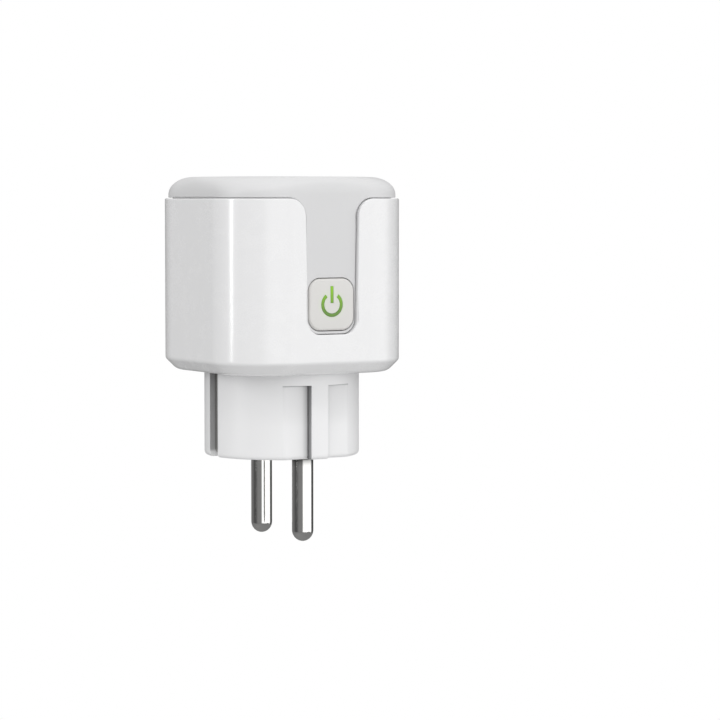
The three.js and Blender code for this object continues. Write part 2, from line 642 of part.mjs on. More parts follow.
function plugCollar() {
  const tall = [0, FLANGE_TOP_Z];
  const round = rod(COLLAR_RADIUS, tall, [0, 0], 72);
  const bore = rod(COLLAR_RADIUS - COLLAR_WALL, [-1, FLANGE_TOP_Z + 1], [0, 0], 72);
  const flange = rod(COLLAR_RADIUS + FLANGE_WIDTH, [FLANGE_FOOT_Z, FLANGE_TOP_Z]);
  const earthWalls = bothSides([POCKET_X[0] - POCKET_WALL, COLLAR_RADIUS]).map((xs) =>
    block(xs, [-POCKET_Y - POCKET_WALL, POCKET_Y + POCKET_WALL], tall));
  const flatWalls = bothSides([FACE_HALF_Y + GAP, COLLAR_RADIUS]).map((ys) => block([-REACH, REACH], ys, tall));
  const walls = join(...earthWalls, ...flatWalls).intersect(round);
  const flats = bothSides([FLAT_Y, REACH]).flatMap((ys) =>
    bothSides([RIB_WIDTH / 2, REACH]).map((xs) => block(xs, ys, [-1, FLAT_HEIGHT])));
  const seat = rod(FACE_RADIUS + GAP, [-1, FACE_THICKNESS + GAP], [0, 0], 72).intersect(
    block([-REACH, REACH], [-FACE_HALF_Y - GAP, FACE_HALF_Y + GAP], [-2, FACE_THICKNESS + 1]));
  const pockets = bothSides(POCKET_X).map((xs) => block(xs, [-POCKET_Y, POCKET_Y], [-1, FLANGE_TOP_Z + 1]));
  const slotY = SIDE_SLOT_WIDTH / 2;
  const slots = bothSides([POCKET_X[0], REACH]).map((xs) => block(xs, [-slotY, slotY], [-1, FLOOR_TOP_Z]));
  return cut(join(round, flange).subtract(bore).add(walls), ...flats, seat, ...pockets, ...slots);
}

add('plug_collar', plugCollar(), WHITE);

function plugFace() {
  const halfY = FACE_HALF_Y;
  const depth = EARTH_SINK + EARTH_METAL + GAP;
  const disc = rod(FACE_RADIUS, [0, FACE_THICKNESS], [0, 0], 72).intersect(
    block([-REACH, REACH], [-halfY, halfY], [-1, FACE_THICKNESS + 1]));
  const bossZ = [FACE_THICKNESS - 0.1, FACE_THICKNESS + BOSS_HEIGHT];
  const bosses = PIN_PLACES.map((p) => rod(BOSS_RADIUS, bossZ, p, 28));
  const pinHoles = PIN_PLACES.map((p) => rod(PIN_RADIUS + GAP, [-1, REACH], p, 28));
  const channel = block([-REACH, REACH], [-EARTH_WIDTH / 2 - GAP, EARTH_WIDTH / 2 + GAP], [-1, depth]);
  const eyeX = EARTH_EYE_LENGTH / 2 + GAP;
  const eyeY = EARTH_EYE_WIDTH / 2 + GAP;
  const eye = block([-EARTH_HOLE_OFFSET - eyeX, -EARTH_HOLE_OFFSET + eyeX], [-eyeY, eyeY], [-1, depth]);
  const tubeHole = rod(EARTH_TUBE_RADIUS + GAP, [-1, REACH], [-EARTH_HOLE_OFFSET, 0], 28);
  const legs = bothSides([POCKET_X[0], REACH]).map((xs) => block(xs, [-POCKET_Y, POCKET_Y], [-1, REACH]));
  return cut(join(disc, ...bosses), ...pinHoles, channel, eye, tubeHole, ...legs);
}

add('plug_face', plugFace(), WHITE);

// ---------------------------------------------------------------- pins and plug earth

function pin(place) {
  const headZ = FACE_THICKNESS + BOSS_HEIGHT + GAP;
  const tip = [];
  const steps = 6;
  for (let i = 0; i <= steps; i++) {
    const angle = (Math.PI / 2) * (i / steps);
    tip.push([PIN_RADIUS * Math.sin(angle), -PIN_LENGTH + PIN_RADIUS * (1 - Math.cos(angle))]);
  }
  return turned([
    ...tip,
    [PIN_RADIUS, headZ],
    [PIN_HEAD_RADIUS, headZ],
    [PIN_HEAD_RADIUS, headZ + PIN_HEAD],
    [PIN_STUB_RADIUS, headZ + PIN_HEAD],
    [PIN_STUB_RADIUS, BOARD_TOP_Z - GAP],
    [0, BOARD_TOP_Z - GAP],
  ], place);
}

add('line_pin', pin(PIN_PLACES[0]), NICKEL);
add('neutral_pin', pin(PIN_PLACES[1]), NICKEL);

// The earth strip: across the face, up both sides of the collar, with an eye round the earth hole.
function plugEarthStrip() {
  const stripZ = EARTH_SINK + EARTH_METAL / 2;
  const line = [
    [-EARTH_X, BOARD_FOOT_Z - GAP],
    [-EARTH_X, stripZ],
    [EARTH_X, stripZ],
    [EARTH_X, UNDERSIDE_Z - 1.5],
  ];
  const strip = bentStrip(line, EARTH_METAL, [-EARTH_WIDTH / 2, EARTH_WIDTH / 2]);
  const eyeX = [-EARTH_HOLE_OFFSET - EARTH_EYE_LENGTH / 2, -EARTH_HOLE_OFFSET + EARTH_EYE_LENGTH / 2];
  const eye = block(eyeX, [-EARTH_EYE_WIDTH / 2, EARTH_EYE_WIDTH / 2], [EARTH_SINK, EARTH_SINK + EARTH_METAL]);
  const hole = rod(EARTH_TUBE_RADIUS + GAP, [-1, EARTH_SINK + 2], [-EARTH_HOLE_OFFSET, 0], 28);
  return strip.add(eye).subtract(hole);
}

add('plug_earth_strip', plugEarthStrip(), NICKEL);

// The socket for a wall outlet's earth pin: a thin tube with a slit down one side.
function earthTube() {
  const z = [EARTH_SINK, EARTH_SINK + EARTH_TUBE_DEPTH];
  const at = [-EARTH_HOLE_OFFSET, 0];
  const tube = rod(EARTH_TUBE_RADIUS, z, at, 28).subtract(
    rod(EARTH_TUBE_RADIUS - EARTH_TUBE_WALL, [z[0] - 1, z[1] + 1], at, 28));
  return tube.subtract(block([-EARTH_HOLE_OFFSET, 0], [-0.3, 0.3], [FACE_THICKNESS + 1, z[1] + 1]));
}

add('earth_pin_tube', earthTube(), NICKEL);

// Joins the plug's earth strip to the socket's strap.
function earthLink() {
  const topZ = STRAP_Z - EARTH_METAL - GAP;
  const line = [[-EARTH_X, BOARD_FOOT_Z], [-EARTH_X, topZ], [-EARTH_X + EARTH_LINK_FOOT, topZ]];
  return bentStrip(line, EARTH_METAL, [-EARTH_LINK_WIDTH / 2, EARTH_LINK_WIDTH / 2]);
}

add('earth_link', earthLink(), NICKEL);

// ---------------------------------------------------------------- power button

// The power sign, drawn in x and z: an open ring and a bar, grown by extra all round.
function symbolSolid(extra, y) {
  const stroke = SYMBOL_STROKE / 2 + extra;
  const start = Math.PI / 2 + SYMBOL_OPENING;
  const end = Math.PI / 2 - SYMBOL_OPENING + 2 * Math.PI;
  const ring = new THREE.Shape();
  ring.absarc(0, 0, SYMBOL_RADIUS + stroke, start, end);
  ring.absarc(0, 0, SYMBOL_RADIUS - stroke, end, start, true);
  const bar = block([-stroke, stroke], y, [SYMBOL_BAR[0] - extra, SYMBOL_BAR[1] + extra]);
  return slab(ring, y, 24).add(bar).translate([0, 0, BUTTON_Z]);
}

// A square plate behind the button's middle, over a range of y.
function squarePlate(width, corner, y) {
  return slab(roundedSquare(width / 2, corner), y).translate([0, 0, BUTTON_Z]);
}

function powerButton() {
  const front = squarePlate(BUTTON_WIDTH, BUTTON_CORNER, [BUTTON_FACE_Y, BUTTON_FLANGE_Y + 0.1]);
  const flange = squarePlate(BUTTON_FLANGE, BUTTON_CORNER, [BUTTON_FLANGE_Y, BUTTON_BACK_Y]);
  const room = squarePlate(2 * BUTTON_ROOM, GUIDE_PLATE_CORNER + GAP, [BUTTON_FACE_Y + BUTTON_WALL, 0]);
  return cut(front.add(flange), room, symbolSolid(FINE_GAP, [BUTTON_FACE_Y - 1, 0]));
}

// The light guide: a clear plate behind the button's face, with the sign standing up through it.
function powerSymbol() {
  const y = [LIGHT_GUIDE_Y, LIGHT_GUIDE_Y + GUIDE_PLATE_DEPTH];
  const plate = squarePlate(GUIDE_PLATE, GUIDE_PLATE_CORNER, y);
  return plate.add(symbolSolid(0, [BUTTON_FACE_Y, LIGHT_GUIDE_Y + 0.1]));
}

// The bar across the button's back that presses the switch.
function buttonPusher() {
  const x = [-GUIDE_PLATE / 2, GUIDE_PLATE / 2];
  return block(x, [LIGHT_GUIDE_Y + GUIDE_PLATE_DEPTH + GAP, BUTTON_BACK_Y], around(BUTTON_Z, PUSHER_HEIGHT));
}

function switchBody() {
  const can = block(around(0, SWITCH_WIDTH), [SWITCH_FACE_Y, SWITCH_BACK_Y], around(BUTTON_Z, SWITCH_WIDTH));
  return can.subtract(rodAlongY(PLUNGER_RADIUS + GAP, [SWITCH_FACE_Y - 1, SWITCH_BACK_Y - GAP], [0, BUTTON_Z]));
}

function switchPlunger() {
  return rodAlongY(PLUNGER_RADIUS, [PLUNGER_TOP_Y, PLUNGER_TOP_Y + PLUNGER_LENGTH], [0, BUTTON_Z]);
}

function statusLed() {
  const y = [SWITCH_BOARD_Y - GAP - LED_SIZE[1], SWITCH_BOARD_Y - GAP];
  return block(around(0, LED_SIZE[0]), y, around(BUTTON_Z + LED_RISE, LED_SIZE[2]));
}

add('power_button', powerButton(), BUTTON_WHITE);
add('power_symbol', powerSymbol(), GREEN);
add('button_pusher', buttonPusher(), BUTTON_WHITE);
add('switch_body', switchBody(), BLACK);
add('switch_plunger', switchPlunger(), NYLON);
add('status_led', statusLed(), TAPE);

// ---------------------------------------------------------------- boards and busbars

// The small boards stand upright behind the button and by the back wall.
function uprightBoard(width, y0) {
  return block(around(0, width), [y0, y0 + SMALL_BOARD], SMALL_BOARD_Z);
}

const WIFI_BOARD_Y = INNER_HALF - WIFI_BOARD_MARGIN - SMALL_BOARD;
const SHIELD_FOOT_Z = SMALL_BOARD_Z[0] + 1;

add('switch_board', uprightBoard(SWITCH_BOARD_WIDTH, SWITCH_BOARD_Y), BOARD_GREEN);
add('wifi_board', uprightBoard(WIFI_BOARD_WIDTH, WIFI_BOARD_Y), BOARD_GREEN);
add('wifi_shield', block(around(0, SHIELD_WIDTH), [WIFI_BOARD_Y - GAP - SHIELD_DEPTH, WIFI_BOARD_Y - GAP],
  [SHIELD_FOOT_Z, SHIELD_FOOT_Z + SHIELD_HEIGHT]), STEEL);

function mainBoard() {
  const outline = roundedSquare(INNER_HALF - BOARD_MARGIN, BOARD_CORNER);
  const holes = PIN_PLACES.map((p) => rod(PIN_STUB_RADIUS + GAP, [BOARD_FOOT_Z - 1, BOARD_TOP_Z + 1], p, 20));
  const notchY = EARTH_LINK_WIDTH + 2 * GAP;
  const notch = block([-REACH, -EARTH_X + EARTH_METAL / 2 + GAP], around(0, notchY), [0, REACH]);
  return cut(prism(outline, [BOARD_FOOT_Z, BOARD_TOP_Z], 6), ...holes, notch);
}

add('main_board', mainBoard(), BOARD_GREEN);

// Under the board, from the line pin towards the relay.
function lineBusbar() {
  const x0 = -PIN_STUB_RADIUS - GAP - 1.1;
  const z = [BOARD_FOOT_Z - GAP - BUSBAR, BOARD_FOOT_Z - GAP];
  const bar = block([x0, x0 + LINE_BUSBAR_LENGTH], around(-PIN_Y, BUSBAR_WIDTH), z);
  return bar.subtract(rod(PIN_STUB_RADIUS + GAP, [0, REACH], PIN_PLACES[0], 20));
}

// On the board, from the relay to the line contact.
function loadBusbar() {
  const y = -PIN_Y + BUSBAR_WIDTH / 2 + GAP + LOAD_BUSBAR_WIDTH / 2;
  return block([-1.5, -1.5 + LOAD_BUSBAR_LENGTH], around(y, LOAD_BUSBAR_WIDTH), [PARTS_Z, PARTS_Z + BUSBAR]);
}

// On the board, from the neutral pin's stub to the neutral contact's back.
function neutralBusbar() {
  const y = [PIN_Y - BUSBAR_WIDTH, PIN_Y + BUSBAR_WIDTH / 2];
  return block(around(0, BUSBAR_WIDTH), y, [PARTS_Z, PARTS_Z + BUSBAR]);
}

function currentShunt() {
  const half = SHUNT_LENGTH / 2;
  const topZ = PARTS_Z + SHUNT_HEIGHT;
  const line = [[-half, PARTS_Z], [-half, topZ], [half, topZ], [half, PARTS_Z]];
  return bentStrip(line, BUSBAR, around(0, SHUNT_WIDTH));
}

add('line_busbar', lineBusbar(), COPPER);
add('load_busbar', loadBusbar(), COPPER);
add('neutral_busbar', neutralBusbar(), COPPER);
add('current_shunt', currentShunt(), COPPER);

// ---------------------------------------------------------------- relay

const RELAY_FOOT_Z = PARTS_Z + BUSBAR + GAP;
const RELAY_TOP_Z = RELAY_FOOT_Z + RELAY_SIZE[2];
const RELAY_X = around(RELAY_PLACE[0], RELAY_SIZE[0]);
const RELAY_Y = around(RELAY_PLACE[1], RELAY_SIZE[1]);
const ROOM_X = [RELAY_X[0] + RELAY_WALL, RELAY_X[1] - RELAY_WALL];
const ROOM_Y = [RELAY_Y[0] + RELAY_WALL, RELAY_Y[1] - RELAY_WALL];
const WORKS_Z = RELAY_FOOT_Z + RELAY_BASE + GAP;
const YOKE_TOP_Z = WORKS_Z + YOKE_METAL;
const COIL_X = ROOM_X[0] + GAP + COIL_RADIUS;
const COIL_Z = YOKE_TOP_Z + GAP + COIL_RADIUS;
const COIL_Y0 = ROOM_Y[0] + 2 * GAP + YOKE_METAL;
const COIL_Y1 = COIL_Y0 + COIL_LENGTH;
const ARMATURE_Y = COIL_Y1 + ARMATURE_AWAY;
const CONTACT_X = ROOM_X[1] - 2 * GAP - 1.3;
const CONTACT_Z = COIL_Z + 1.2;
const CONTACT_FACE_Y = ARMATURE_Y - RELAY_CONTACT_DEPTH;

// The clear-topped cover is open below, where the base closes it.
function relayCover() {
  const outside = block(RELAY_X, RELAY_Y, [RELAY_FOOT_Z, RELAY_TOP_Z]);
  return outside.subtract(block(ROOM_X, ROOM_Y, [0, RELAY_TOP_Z - RELAY_WALL]));
}

function relayBase() {
  const inside = ([a, b]) => [a + GAP, b - GAP];
  return block(inside(ROOM_X), inside(ROOM_Y), [RELAY_FOOT_Z, RELAY_FOOT_Z + RELAY_BASE]);
}

// An L of soft iron, drawn along x and turned to run along y.
function relayYoke() {
  const middleZ = WORKS_Z + YOKE_METAL / 2;
  const backY = ROOM_Y[0] + GAP + YOKE_METAL / 2;
  const line = [[backY, COIL_Z + COIL_RADIUS - COIL_LIP], [backY, middleZ], [ARMATURE_Y - GAP, middleZ]];
  return bentStrip(line, YOKE_METAL, around(-COIL_X, YOKE_WIDTH)).rotate([0, 0, 90]);
}

function relayCoil() {
  const at = [COIL_X, COIL_Z];
  const ends = [[COIL_Y0, COIL_Y0 + COIL_FLANGE], [COIL_Y1 - COIL_FLANGE, COIL_Y1]];
  const winding = rodAlongY(COIL_RADIUS - COIL_LIP, [COIL_Y0, COIL_Y1], at);
  return join(winding, ...ends.map((y) => rodAlongY(COIL_RADIUS, y, at)));
}

// The hinged plate that the coil pulls in, with the moving contact on it.
function relayArmature() {
  const x = [ROOM_X[0] + 2 * GAP, ROOM_X[1] - 2 * GAP];
  const z = [YOKE_TOP_Z + GAP, COIL_Z + COIL_RADIUS - GAP];
  const plate = block(x, [ARMATURE_Y, ARMATURE_Y + ARMATURE_METAL], z);
  const contactY = [CONTACT_FACE_Y, ARMATURE_Y + 0.1];
  return plate.add(rodAlongY(RELAY_CONTACT_RADIUS, contactY, [CONTACT_X, CONTACT_Z], 16));
}

function relayFixedContact() {
  const faceY = CONTACT_FACE_Y - RELAY_CONTACT_GAP;
  const z = [WORKS_Z, CONTACT_Z + RELAY_CONTACT_RADIUS];
  return block(around(CONTACT_X, RELAY_POST[0]), [faceY - RELAY_POST[1], faceY], z);
}

add('relay_cover', relayCover(), RELAY_BLUE);
add('relay_base', relayBase(), BLACK);
add('relay_yoke', relayYoke(), STEEL);
add('relay_coil', relayCoil(), COPPER);
add('relay_armature', relayArmature(), STEEL);
add('relay_fixed_contact', relayFixedContact(), BRASS);

// ---------------------------------------------------------------- power supply parts

const CORE_X = around(CORE_PLACE[0], CORE_SIZE[0]);
const CORE_Z = [PARTS_Z, PARTS_Z + CORE_SIZE[2]];

// Two yokes and three legs, with a window on either side of the middle leg.
function transformerCore() {
  const whole = block(CORE_X, around(CORE_PLACE[1], CORE_SIZE[1]), CORE_Z);
  const windowZ = [CORE_Z[0] + CORE_YOKE, CORE_Z[1] - CORE_YOKE];
  return cut(whole, ...bothSides(CORE_WINDOW).map((y) => block([-REACH, 0], y, windowZ)));
}

// The winding goes round the core's middle leg.
function transformerWinding() {
  const outY = 2 * (CORE_WINDOW[1] - GAP);
  const outX = CORE_SIZE[0] + 2 * WINDING_PROUD;
  const z = [CORE_Z[0] + CORE_YOKE + GAP, CORE_Z[1] - CORE_YOKE - GAP];
  const whole = block(around(CORE_PLACE[0], outX), around(CORE_PLACE[1], outY), z);
  const legX = around(CORE_PLACE[0], CORE_SIZE[0] + 2 * GAP);
  const legY = around(CORE_PLACE[1], 2 * (CORE_WINDOW[0] + GAP));
  return whole.subtract(block(legX, legY, CORE_Z));
}

const canCapacitor = ({ place, radius, height }) => rod(radius, [PARTS_Z, PARTS_Z + height], place, 24);

function surgeVaristor() {
  const [x, y] = VARISTOR.place;
  return rodAlongY(VARISTOR.radius, around(y, VARISTOR.thickness), [x, PARTS_Z + VARISTOR.radius + 0.1]);
}

// Drawn along y and turned to lie along x.
function fusibleResistor() {
  const [x, y] = RESISTOR.place;
  const body = rodAlongY(RESISTOR.radius, around(-x, RESISTOR.length), [y, PARTS_Z + RESISTOR.radius + GAP]);
  return body.rotate([0, 0, 90]);
}

add('transformer_core', transformerCore(), FERRITE);
add('transformer_winding', transformerWinding(), TAPE);
add('bulk_capacitor', canCapacitor(BULK_CAPACITOR), BLACK);
add('output_capacitor', canCapacitor(OUTPUT_CAPACITOR), BLACK);
add('surge_varistor', surgeVaristor(), RELAY_BLUE);
add('fusible_resistor', fusibleResistor(), NYLON);

export default plug;
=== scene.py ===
"""The looks of a compact smart plug: fine surfaces over its frame, their finishes, the studio and the camera.

Blender works in metres; sizes here are written in millimetres and scaled once, when a mesh is made.
"""

import math

import bmesh
import bpy
import numpy as np
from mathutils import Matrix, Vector


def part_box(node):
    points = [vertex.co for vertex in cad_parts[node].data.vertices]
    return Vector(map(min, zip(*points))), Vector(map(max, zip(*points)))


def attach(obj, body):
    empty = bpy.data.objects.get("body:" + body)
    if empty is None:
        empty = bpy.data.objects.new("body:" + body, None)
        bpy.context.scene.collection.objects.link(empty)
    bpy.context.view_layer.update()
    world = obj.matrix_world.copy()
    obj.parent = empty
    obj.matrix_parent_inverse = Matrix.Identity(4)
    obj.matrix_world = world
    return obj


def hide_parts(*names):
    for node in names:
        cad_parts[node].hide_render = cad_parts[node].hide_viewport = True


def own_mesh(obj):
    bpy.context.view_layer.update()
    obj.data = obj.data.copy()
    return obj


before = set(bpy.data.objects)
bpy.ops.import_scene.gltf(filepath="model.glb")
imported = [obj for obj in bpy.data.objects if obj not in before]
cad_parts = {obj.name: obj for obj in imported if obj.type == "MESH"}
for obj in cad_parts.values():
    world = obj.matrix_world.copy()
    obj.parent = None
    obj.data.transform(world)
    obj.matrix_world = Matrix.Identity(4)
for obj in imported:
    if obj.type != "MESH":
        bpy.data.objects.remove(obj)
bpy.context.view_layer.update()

MM = 0.001
TAU = 2 * math.pi


def corners_mm(node):
    """A node's lowest and highest corner, in millimetres."""
    low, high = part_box(node)
    return np.array(low) / MM, np.array(high) / MM


# ---------------------------------------------------------------- sizes

shell_low, shell_high = corners_mm("outer_shell")
housing_low, housing_high = corners_mm("socket_housing")
floor_low, floor_high = corners_mm("recess_floor")
collar_high = corners_mm("plug_collar")[1]
face_high = corners_mm("plug_face")[1]
button_low, button_high = corners_mm("power_button")
pin_low, pin_high = corners_mm("line_pin")
strip_low, strip_high = corners_mm("plug_earth_strip")

GAP = 0.3
HALF = shell_high[0]
CORNER = 13.4
FLAT = HALF - CORNER
QUARTER = 2 * FLAT + CORNER * math.pi / 2  # from the middle of one side to the middle of the next
UNDERSIDE_Z = shell_low[2]
SEAM_Z = shell_high[2]
TOP_Z = housing_high[2]
UNDERSIDE_CHAMFER = 2.6
CAP_DOME = 3.9
RIM_WIDTH = 0.6
SHELL_WALL = 1.5
SHELL_FLOOR = 2.0
SHELL_EDGE = 0.28  # rounding of the shell's cut edge
STRIP_INSET = HALF - housing_high[0]
STRIP_GAP = 0.16
STRIP_EDGE = 0.2
SLEEVE_INSET = SHELL_WALL + GAP
SLEEVE_WALL = 1.3
SLOT_TOP = 13.3 / 2
SLOT_FOOT = 12.4 / 2
SLOT_FOOT_Z = 27.9
SLOT_CORNER = 3.2
SLOT_FLARE = 4.0
FAN_Z = UNDERSIDE_Z + UNDERSIDE_CHAMFER + 0.7

RECESS_RADIUS = floor_high[1] + GAP
RECESS_FLOOR_Z = floor_high[2]
LEDGE_Z = floor_low[2]
LEDGE_INSET = 1.5
LEDGE_DEPTH = 1.8
GUIDE_X = (2.6, 7.7)
GUIDE_INNER = 16.1
PIN_HOLE_RADIUS = 2.9
FUNNEL = 0.9
EARTH_ARM_X = 18.6
EARTH_ARM_SECTION = (6.0, 0.7)

VENT_RADIUS = 0.45
VENT_PITCH = 2.3
VENT_COUNT = 5
VENT_BOW = 1.1  # how far the row of vents curves

COLLAR_RADIUS = 17.5
FLAT_Y = 15.56
FLAT_HEIGHT = 16.4
RIB_HALF = 2.1
SIDE_SLOT_HALF = 1.75
SIDE_SLOT_X = 15.1
COLLAR_ROUNDING = 0.9
COLLAR_INNER = 14.2
FACE_THICKNESS = 3.0
FACE_RADIUS = face_high[0] + GAP
FACE_HALF_Y = face_high[1]

BUTTON_HALF = 5.7
BUTTON_CORNER = 2.9
BUTTON_Z = (button_low[2] + button_high[2]) / 2
BUTTON_FACE_Y = button_low[1]
BUTTON_ROUNDING = 0.55
BUTTON_CROWN = 0.1

PIN_RADIUS = 2.4
PIN_Y = (pin_low[1] + pin_high[1]) / -2
EARTH_HOLE_X = -10.0
EARTH_METAL = 0.8
EARTH_WIDTH = 5.4
LEG_POCKET_X = strip_high[0] - EARTH_METAL - GAP
LEG_POCKET_HALF = EARTH_WIDTH / 2 + GAP
EARTH_TUBE_RADIUS = 2.8
EARTH_TUBE_WALL = 0.4

SIGN_RADIUS = 2.35
SIGN_STROKE = 0.7
SIGN_OPENING = math.radians(36)
SIGN_BAR = (0.35, 4.0)


# ---------------------------------------------------------------- making meshes


def quads(rows, columns, closed_rows, closed_columns):
    """Faces between the neighbours of a grid, which may close on itself either way."""
    index = np.arange(rows * columns).reshape(rows, columns)
    if closed_columns:
        index = np.hstack([index, index[:, :1]])
    if closed_rows:
        index = np.vstack([index, index[:1]])
    return np.stack([index[:-1, :-1], index[:-1, 1:], index[1:, 1:], index[1:, :-1]], -1).reshape(-1, 4)


def mesh_object(name, points, faces):
    """A mesh from points in millimetres, its faces turned outwards."""
    mesh = bpy.data.meshes.new(name)
    mesh.from_pydata((np.asarray(points).reshape(-1, 3) * MM).tolist(), [], faces)
    mesh.validate()
    turned = bmesh.new()
    turned.from_mesh(mesh)
    bmesh.ops.remove_doubles(turned, verts=turned.verts, dist=2e-7)
    bmesh.ops.recalc_face_normals(turned, faces=turned.faces)
    turned.to_mesh(mesh)
    turned.free()
    piece = bpy.data.objects.new(name, mesh)
    bpy.context.scene.collection.objects.link(piece)
    return piece


def ring_of_rows(name, rows):
    """A closed band: each row is a closed line, and the last row meets the first."""
    points = np.stack(rows)
    return mesh_object(name, points, quads(*points.shape[:2], True, True).tolist())


def capped_rows(name, rows):
    """A closed solid: rows of closed lines from one end to the other, with a flat face at each end."""
    points = np.stack(rows)
    count, columns = points.shape[:2]
    faces = quads(count, columns, False, True).tolist()
    last = (count - 1) * columns
    faces.append(list(range(columns))[::-1])
    faces.append(list(range(last, last + columns)))
    return mesh_object(name, points, faces)


def carve(piece, cutters):
    """Takes the cutters away from a piece, for good."""
    for cutter in cutters:
        cut = piece.modifiers.new("cut", "BOOLEAN")
        cut.operation = "DIFFERENCE"
        cut.solver = "EXACT"
        cut.object = cutter
    bpy.context.view_layer.update()
    shaped = bpy.data.meshes.new_from_object(piece.evaluated_get(bpy.context.evaluated_depsgraph_get()))
    if not shaped.polygons:
        raise ValueError(f"nothing is left of {piece.name}")
    piece.modifiers.clear()
    piece.data = shaped
    for cutter in cutters:
        bpy.data.objects.remove(cutter)
    return piece


def soften(piece, width, segments=2, angle=35):
    """Rounds a piece's sharp edges by a width in millimetres."""
    bevel = piece.modifiers.new("edges", "BEVEL")
    bevel.width = width * MM
    bevel.segments = segments
    bevel.limit_method = "ANGLE"
    bevel.angle_limit = math.radians(angle)
    bevel.harden_normals = False
    return piece


def place(piece, finish, body="housing", slot=None, stands_for=(), crease=40):
    """Finishes a piece: smooth shading with creases, even shading on its flats, its finish and its body."""
    piece.data.shade_smooth()
    piece.data.set_sharp_from_angle(angle=math.radians(crease))
    even = piece.modifiers.new("even_shading", "WEIGHTED_NORMAL")
    even.keep_sharp = True
    even.weight = 80
    piece.data.materials.clear()
    piece.data.materials.append(finish)
    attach(piece, body)
    if stands_for:
        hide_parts(*stands_for)
    return piece


# ---------------------------------------------------------------- outlines


def at(x, y, z):
    """Points from three coordinates, each one number or a column."""
    return np.stack(np.broadcast_arrays(x, y, z), -1).astype(float)


def body_line(s, inset, z):
    """Points on the rounded square body, s millimetres round from the middle of its front, sunk by inset.

    On each side the point runs straight for FLAT, then turns on an arc of CORNER less the inset.
    """
    side = np.round(s / QUARTER)
    local = s - side * QUARTER
    bend = np.clip(np.abs(local) - FLAT, 0, None) / CORNER
    reach = CORNER - inset
    x = np.sign(local) * (np.minimum(np.abs(local), FLAT) + reach * np.sin(bend))
    y = -(FLAT + reach * np.cos(bend))
    turn = side * math.pi / 2
    return at(x * np.cos(turn) - y * np.sin(turn), x * np.sin(turn) + y * np.cos(turn), z)


def circle_like(line, radius, z):
    """A circle whose points lie at the same angles as the line's."""
    angle = np.arctan2(line[:, 1], line[:, 0])
    return at(radius * np.cos(angle), radius * np.sin(angle), z)


def arc(middle, radius, start, end, count):
    """An arc's two columns of places, and its two columns of directions away from the middle."""
    angle = np.linspace(start, end, count)
    across, along = np.cos(angle), np.sin(angle)
    return middle[0] + radius * across, middle[1] + radius * along, across, along


def half_slot_edge():
    """Half of the shell's upper edge, from the middle of the slot's foot to the middle of the next side.

    It runs level along the foot, round an arc of SLOT_CORNER, straight up the slot's side, which leans out
    from SLOT_FOOT to SLOT_TOP, round an arc of SLOT_FLARE the other way, and level along the seam.
    Returns s, z, the direction into the opening, and matching places s on the body below and above.
    """
    foot_n, corner_n, side_n, flare_n, seam_n = 10, 18, 30, 22, 64
    flare_z = SEAM_Z - SLOT_FLARE
    corner_x = SLOT_FOOT - SLOT_CORNER
    corner_z = SLOT_FOOT_Z + SLOT_CORNER
    foot = np.linspace(0, corner_x, foot_n, endpoint=False)
    cs, cz, cx, cy = arc((corner_x, corner_z), SLOT_CORNER, -math.pi / 2, 0, corner_n)
    share = np.linspace(0, 1, side_n + 1)[1:-1]
    side_s = SLOT_FOOT + (SLOT_TOP - SLOT_FOOT) * share
    side_z = SLOT_FOOT_Z + SLOT_CORNER + (flare_z - SLOT_FOOT_Z - SLOT_CORNER) * share
    fs, fz, fx, fy = arc((SLOT_TOP + SLOT_FLARE, flare_z), SLOT_FLARE, math.pi, math.pi / 2, flare_n)
    seam = np.linspace(SLOT_TOP + SLOT_FLARE, QUARTER, seam_n + 1)[1:]
    s = np.concatenate([foot, cs, side_s, fs, seam])
    z = np.concatenate([np.full(foot_n, SLOT_FOOT_Z), cz, side_z, fz, np.full(seam_n, SEAM_Z)])
    in_s = np.concatenate([np.zeros(foot_n), -cx, np.full(side_n - 1, -1.0), fx, np.zeros(seam_n)])
    in_z = np.concatenate([np.ones(foot_n), -cy, np.zeros(side_n - 1), fy, np.ones(seam_n)])
    marks = np.cumsum([0, foot_n, corner_n, side_n - 1, flare_n, seam_n]) - 1
    marks[0] = 0
    step = np.arange(len(s))
    below = np.interp(step, marks, [0, corner_x, SLOT_FOOT + 0.1, 8.4, 11.6, QUARTER])
    above = np.interp(step, marks, [0, 2.2, 3.8, 6.3, 10.5, QUARTER])
    return s, z, in_s, in_z, below, above


def slot_edge():
    """The whole upper edge, round both slots: the half edge and its mirror, front and back."""
    s, z, in_s, in_z, below, above = half_slot_edge()
    back = slice(-2, 0, -1)

    def whole(front, mirrored, step):
        """A column for the whole edge: the half, its mirror, and both again at the back."""
        half = np.concatenate([front, mirrored[back]])
        return np.concatenate([half, half + step])

    def round_body(v):
        """A column of places s for the whole edge, which go on counting round the body."""
        quarter = np.concatenate([v, 2 * QUARTER - v[back]])
        return np.concatenate([quarter, quarter + 2 * QUARTER])

    edge = (round_body(s), whole(z, z, 0), whole(in_s, -in_s, 0), whole(in_z, in_z, 0))
    return (*edge, round_body(below), round_body(above))


EDGE_S, EDGE_Z, IN_S, IN_Z, BELOW, ABOVE = slot_edge()


def edge_line(out, inset):
    """The edge moved into the opening by out, at a depth under the shell's surface."""
    return body_line(EDGE_S + out * IN_S, inset, EDGE_Z + out * IN_Z)


def fan(places, z, out, inset, count):
    """Rows between a level line round the body and the edge moved by out."""
    rows = []
    for share in np.linspace(0, 1, count + 2)[1:-1]:
        s = places + (EDGE_S + out * IN_S - places) * share
        rows.append(body_line(s, inset, z + (EDGE_Z + out * IN_Z - z) * share))
    return rows


def quarter_turn(count):
    """Angles from 0 to a right angle, for rounded edges."""
    return np.linspace(0, math.pi / 2, count)


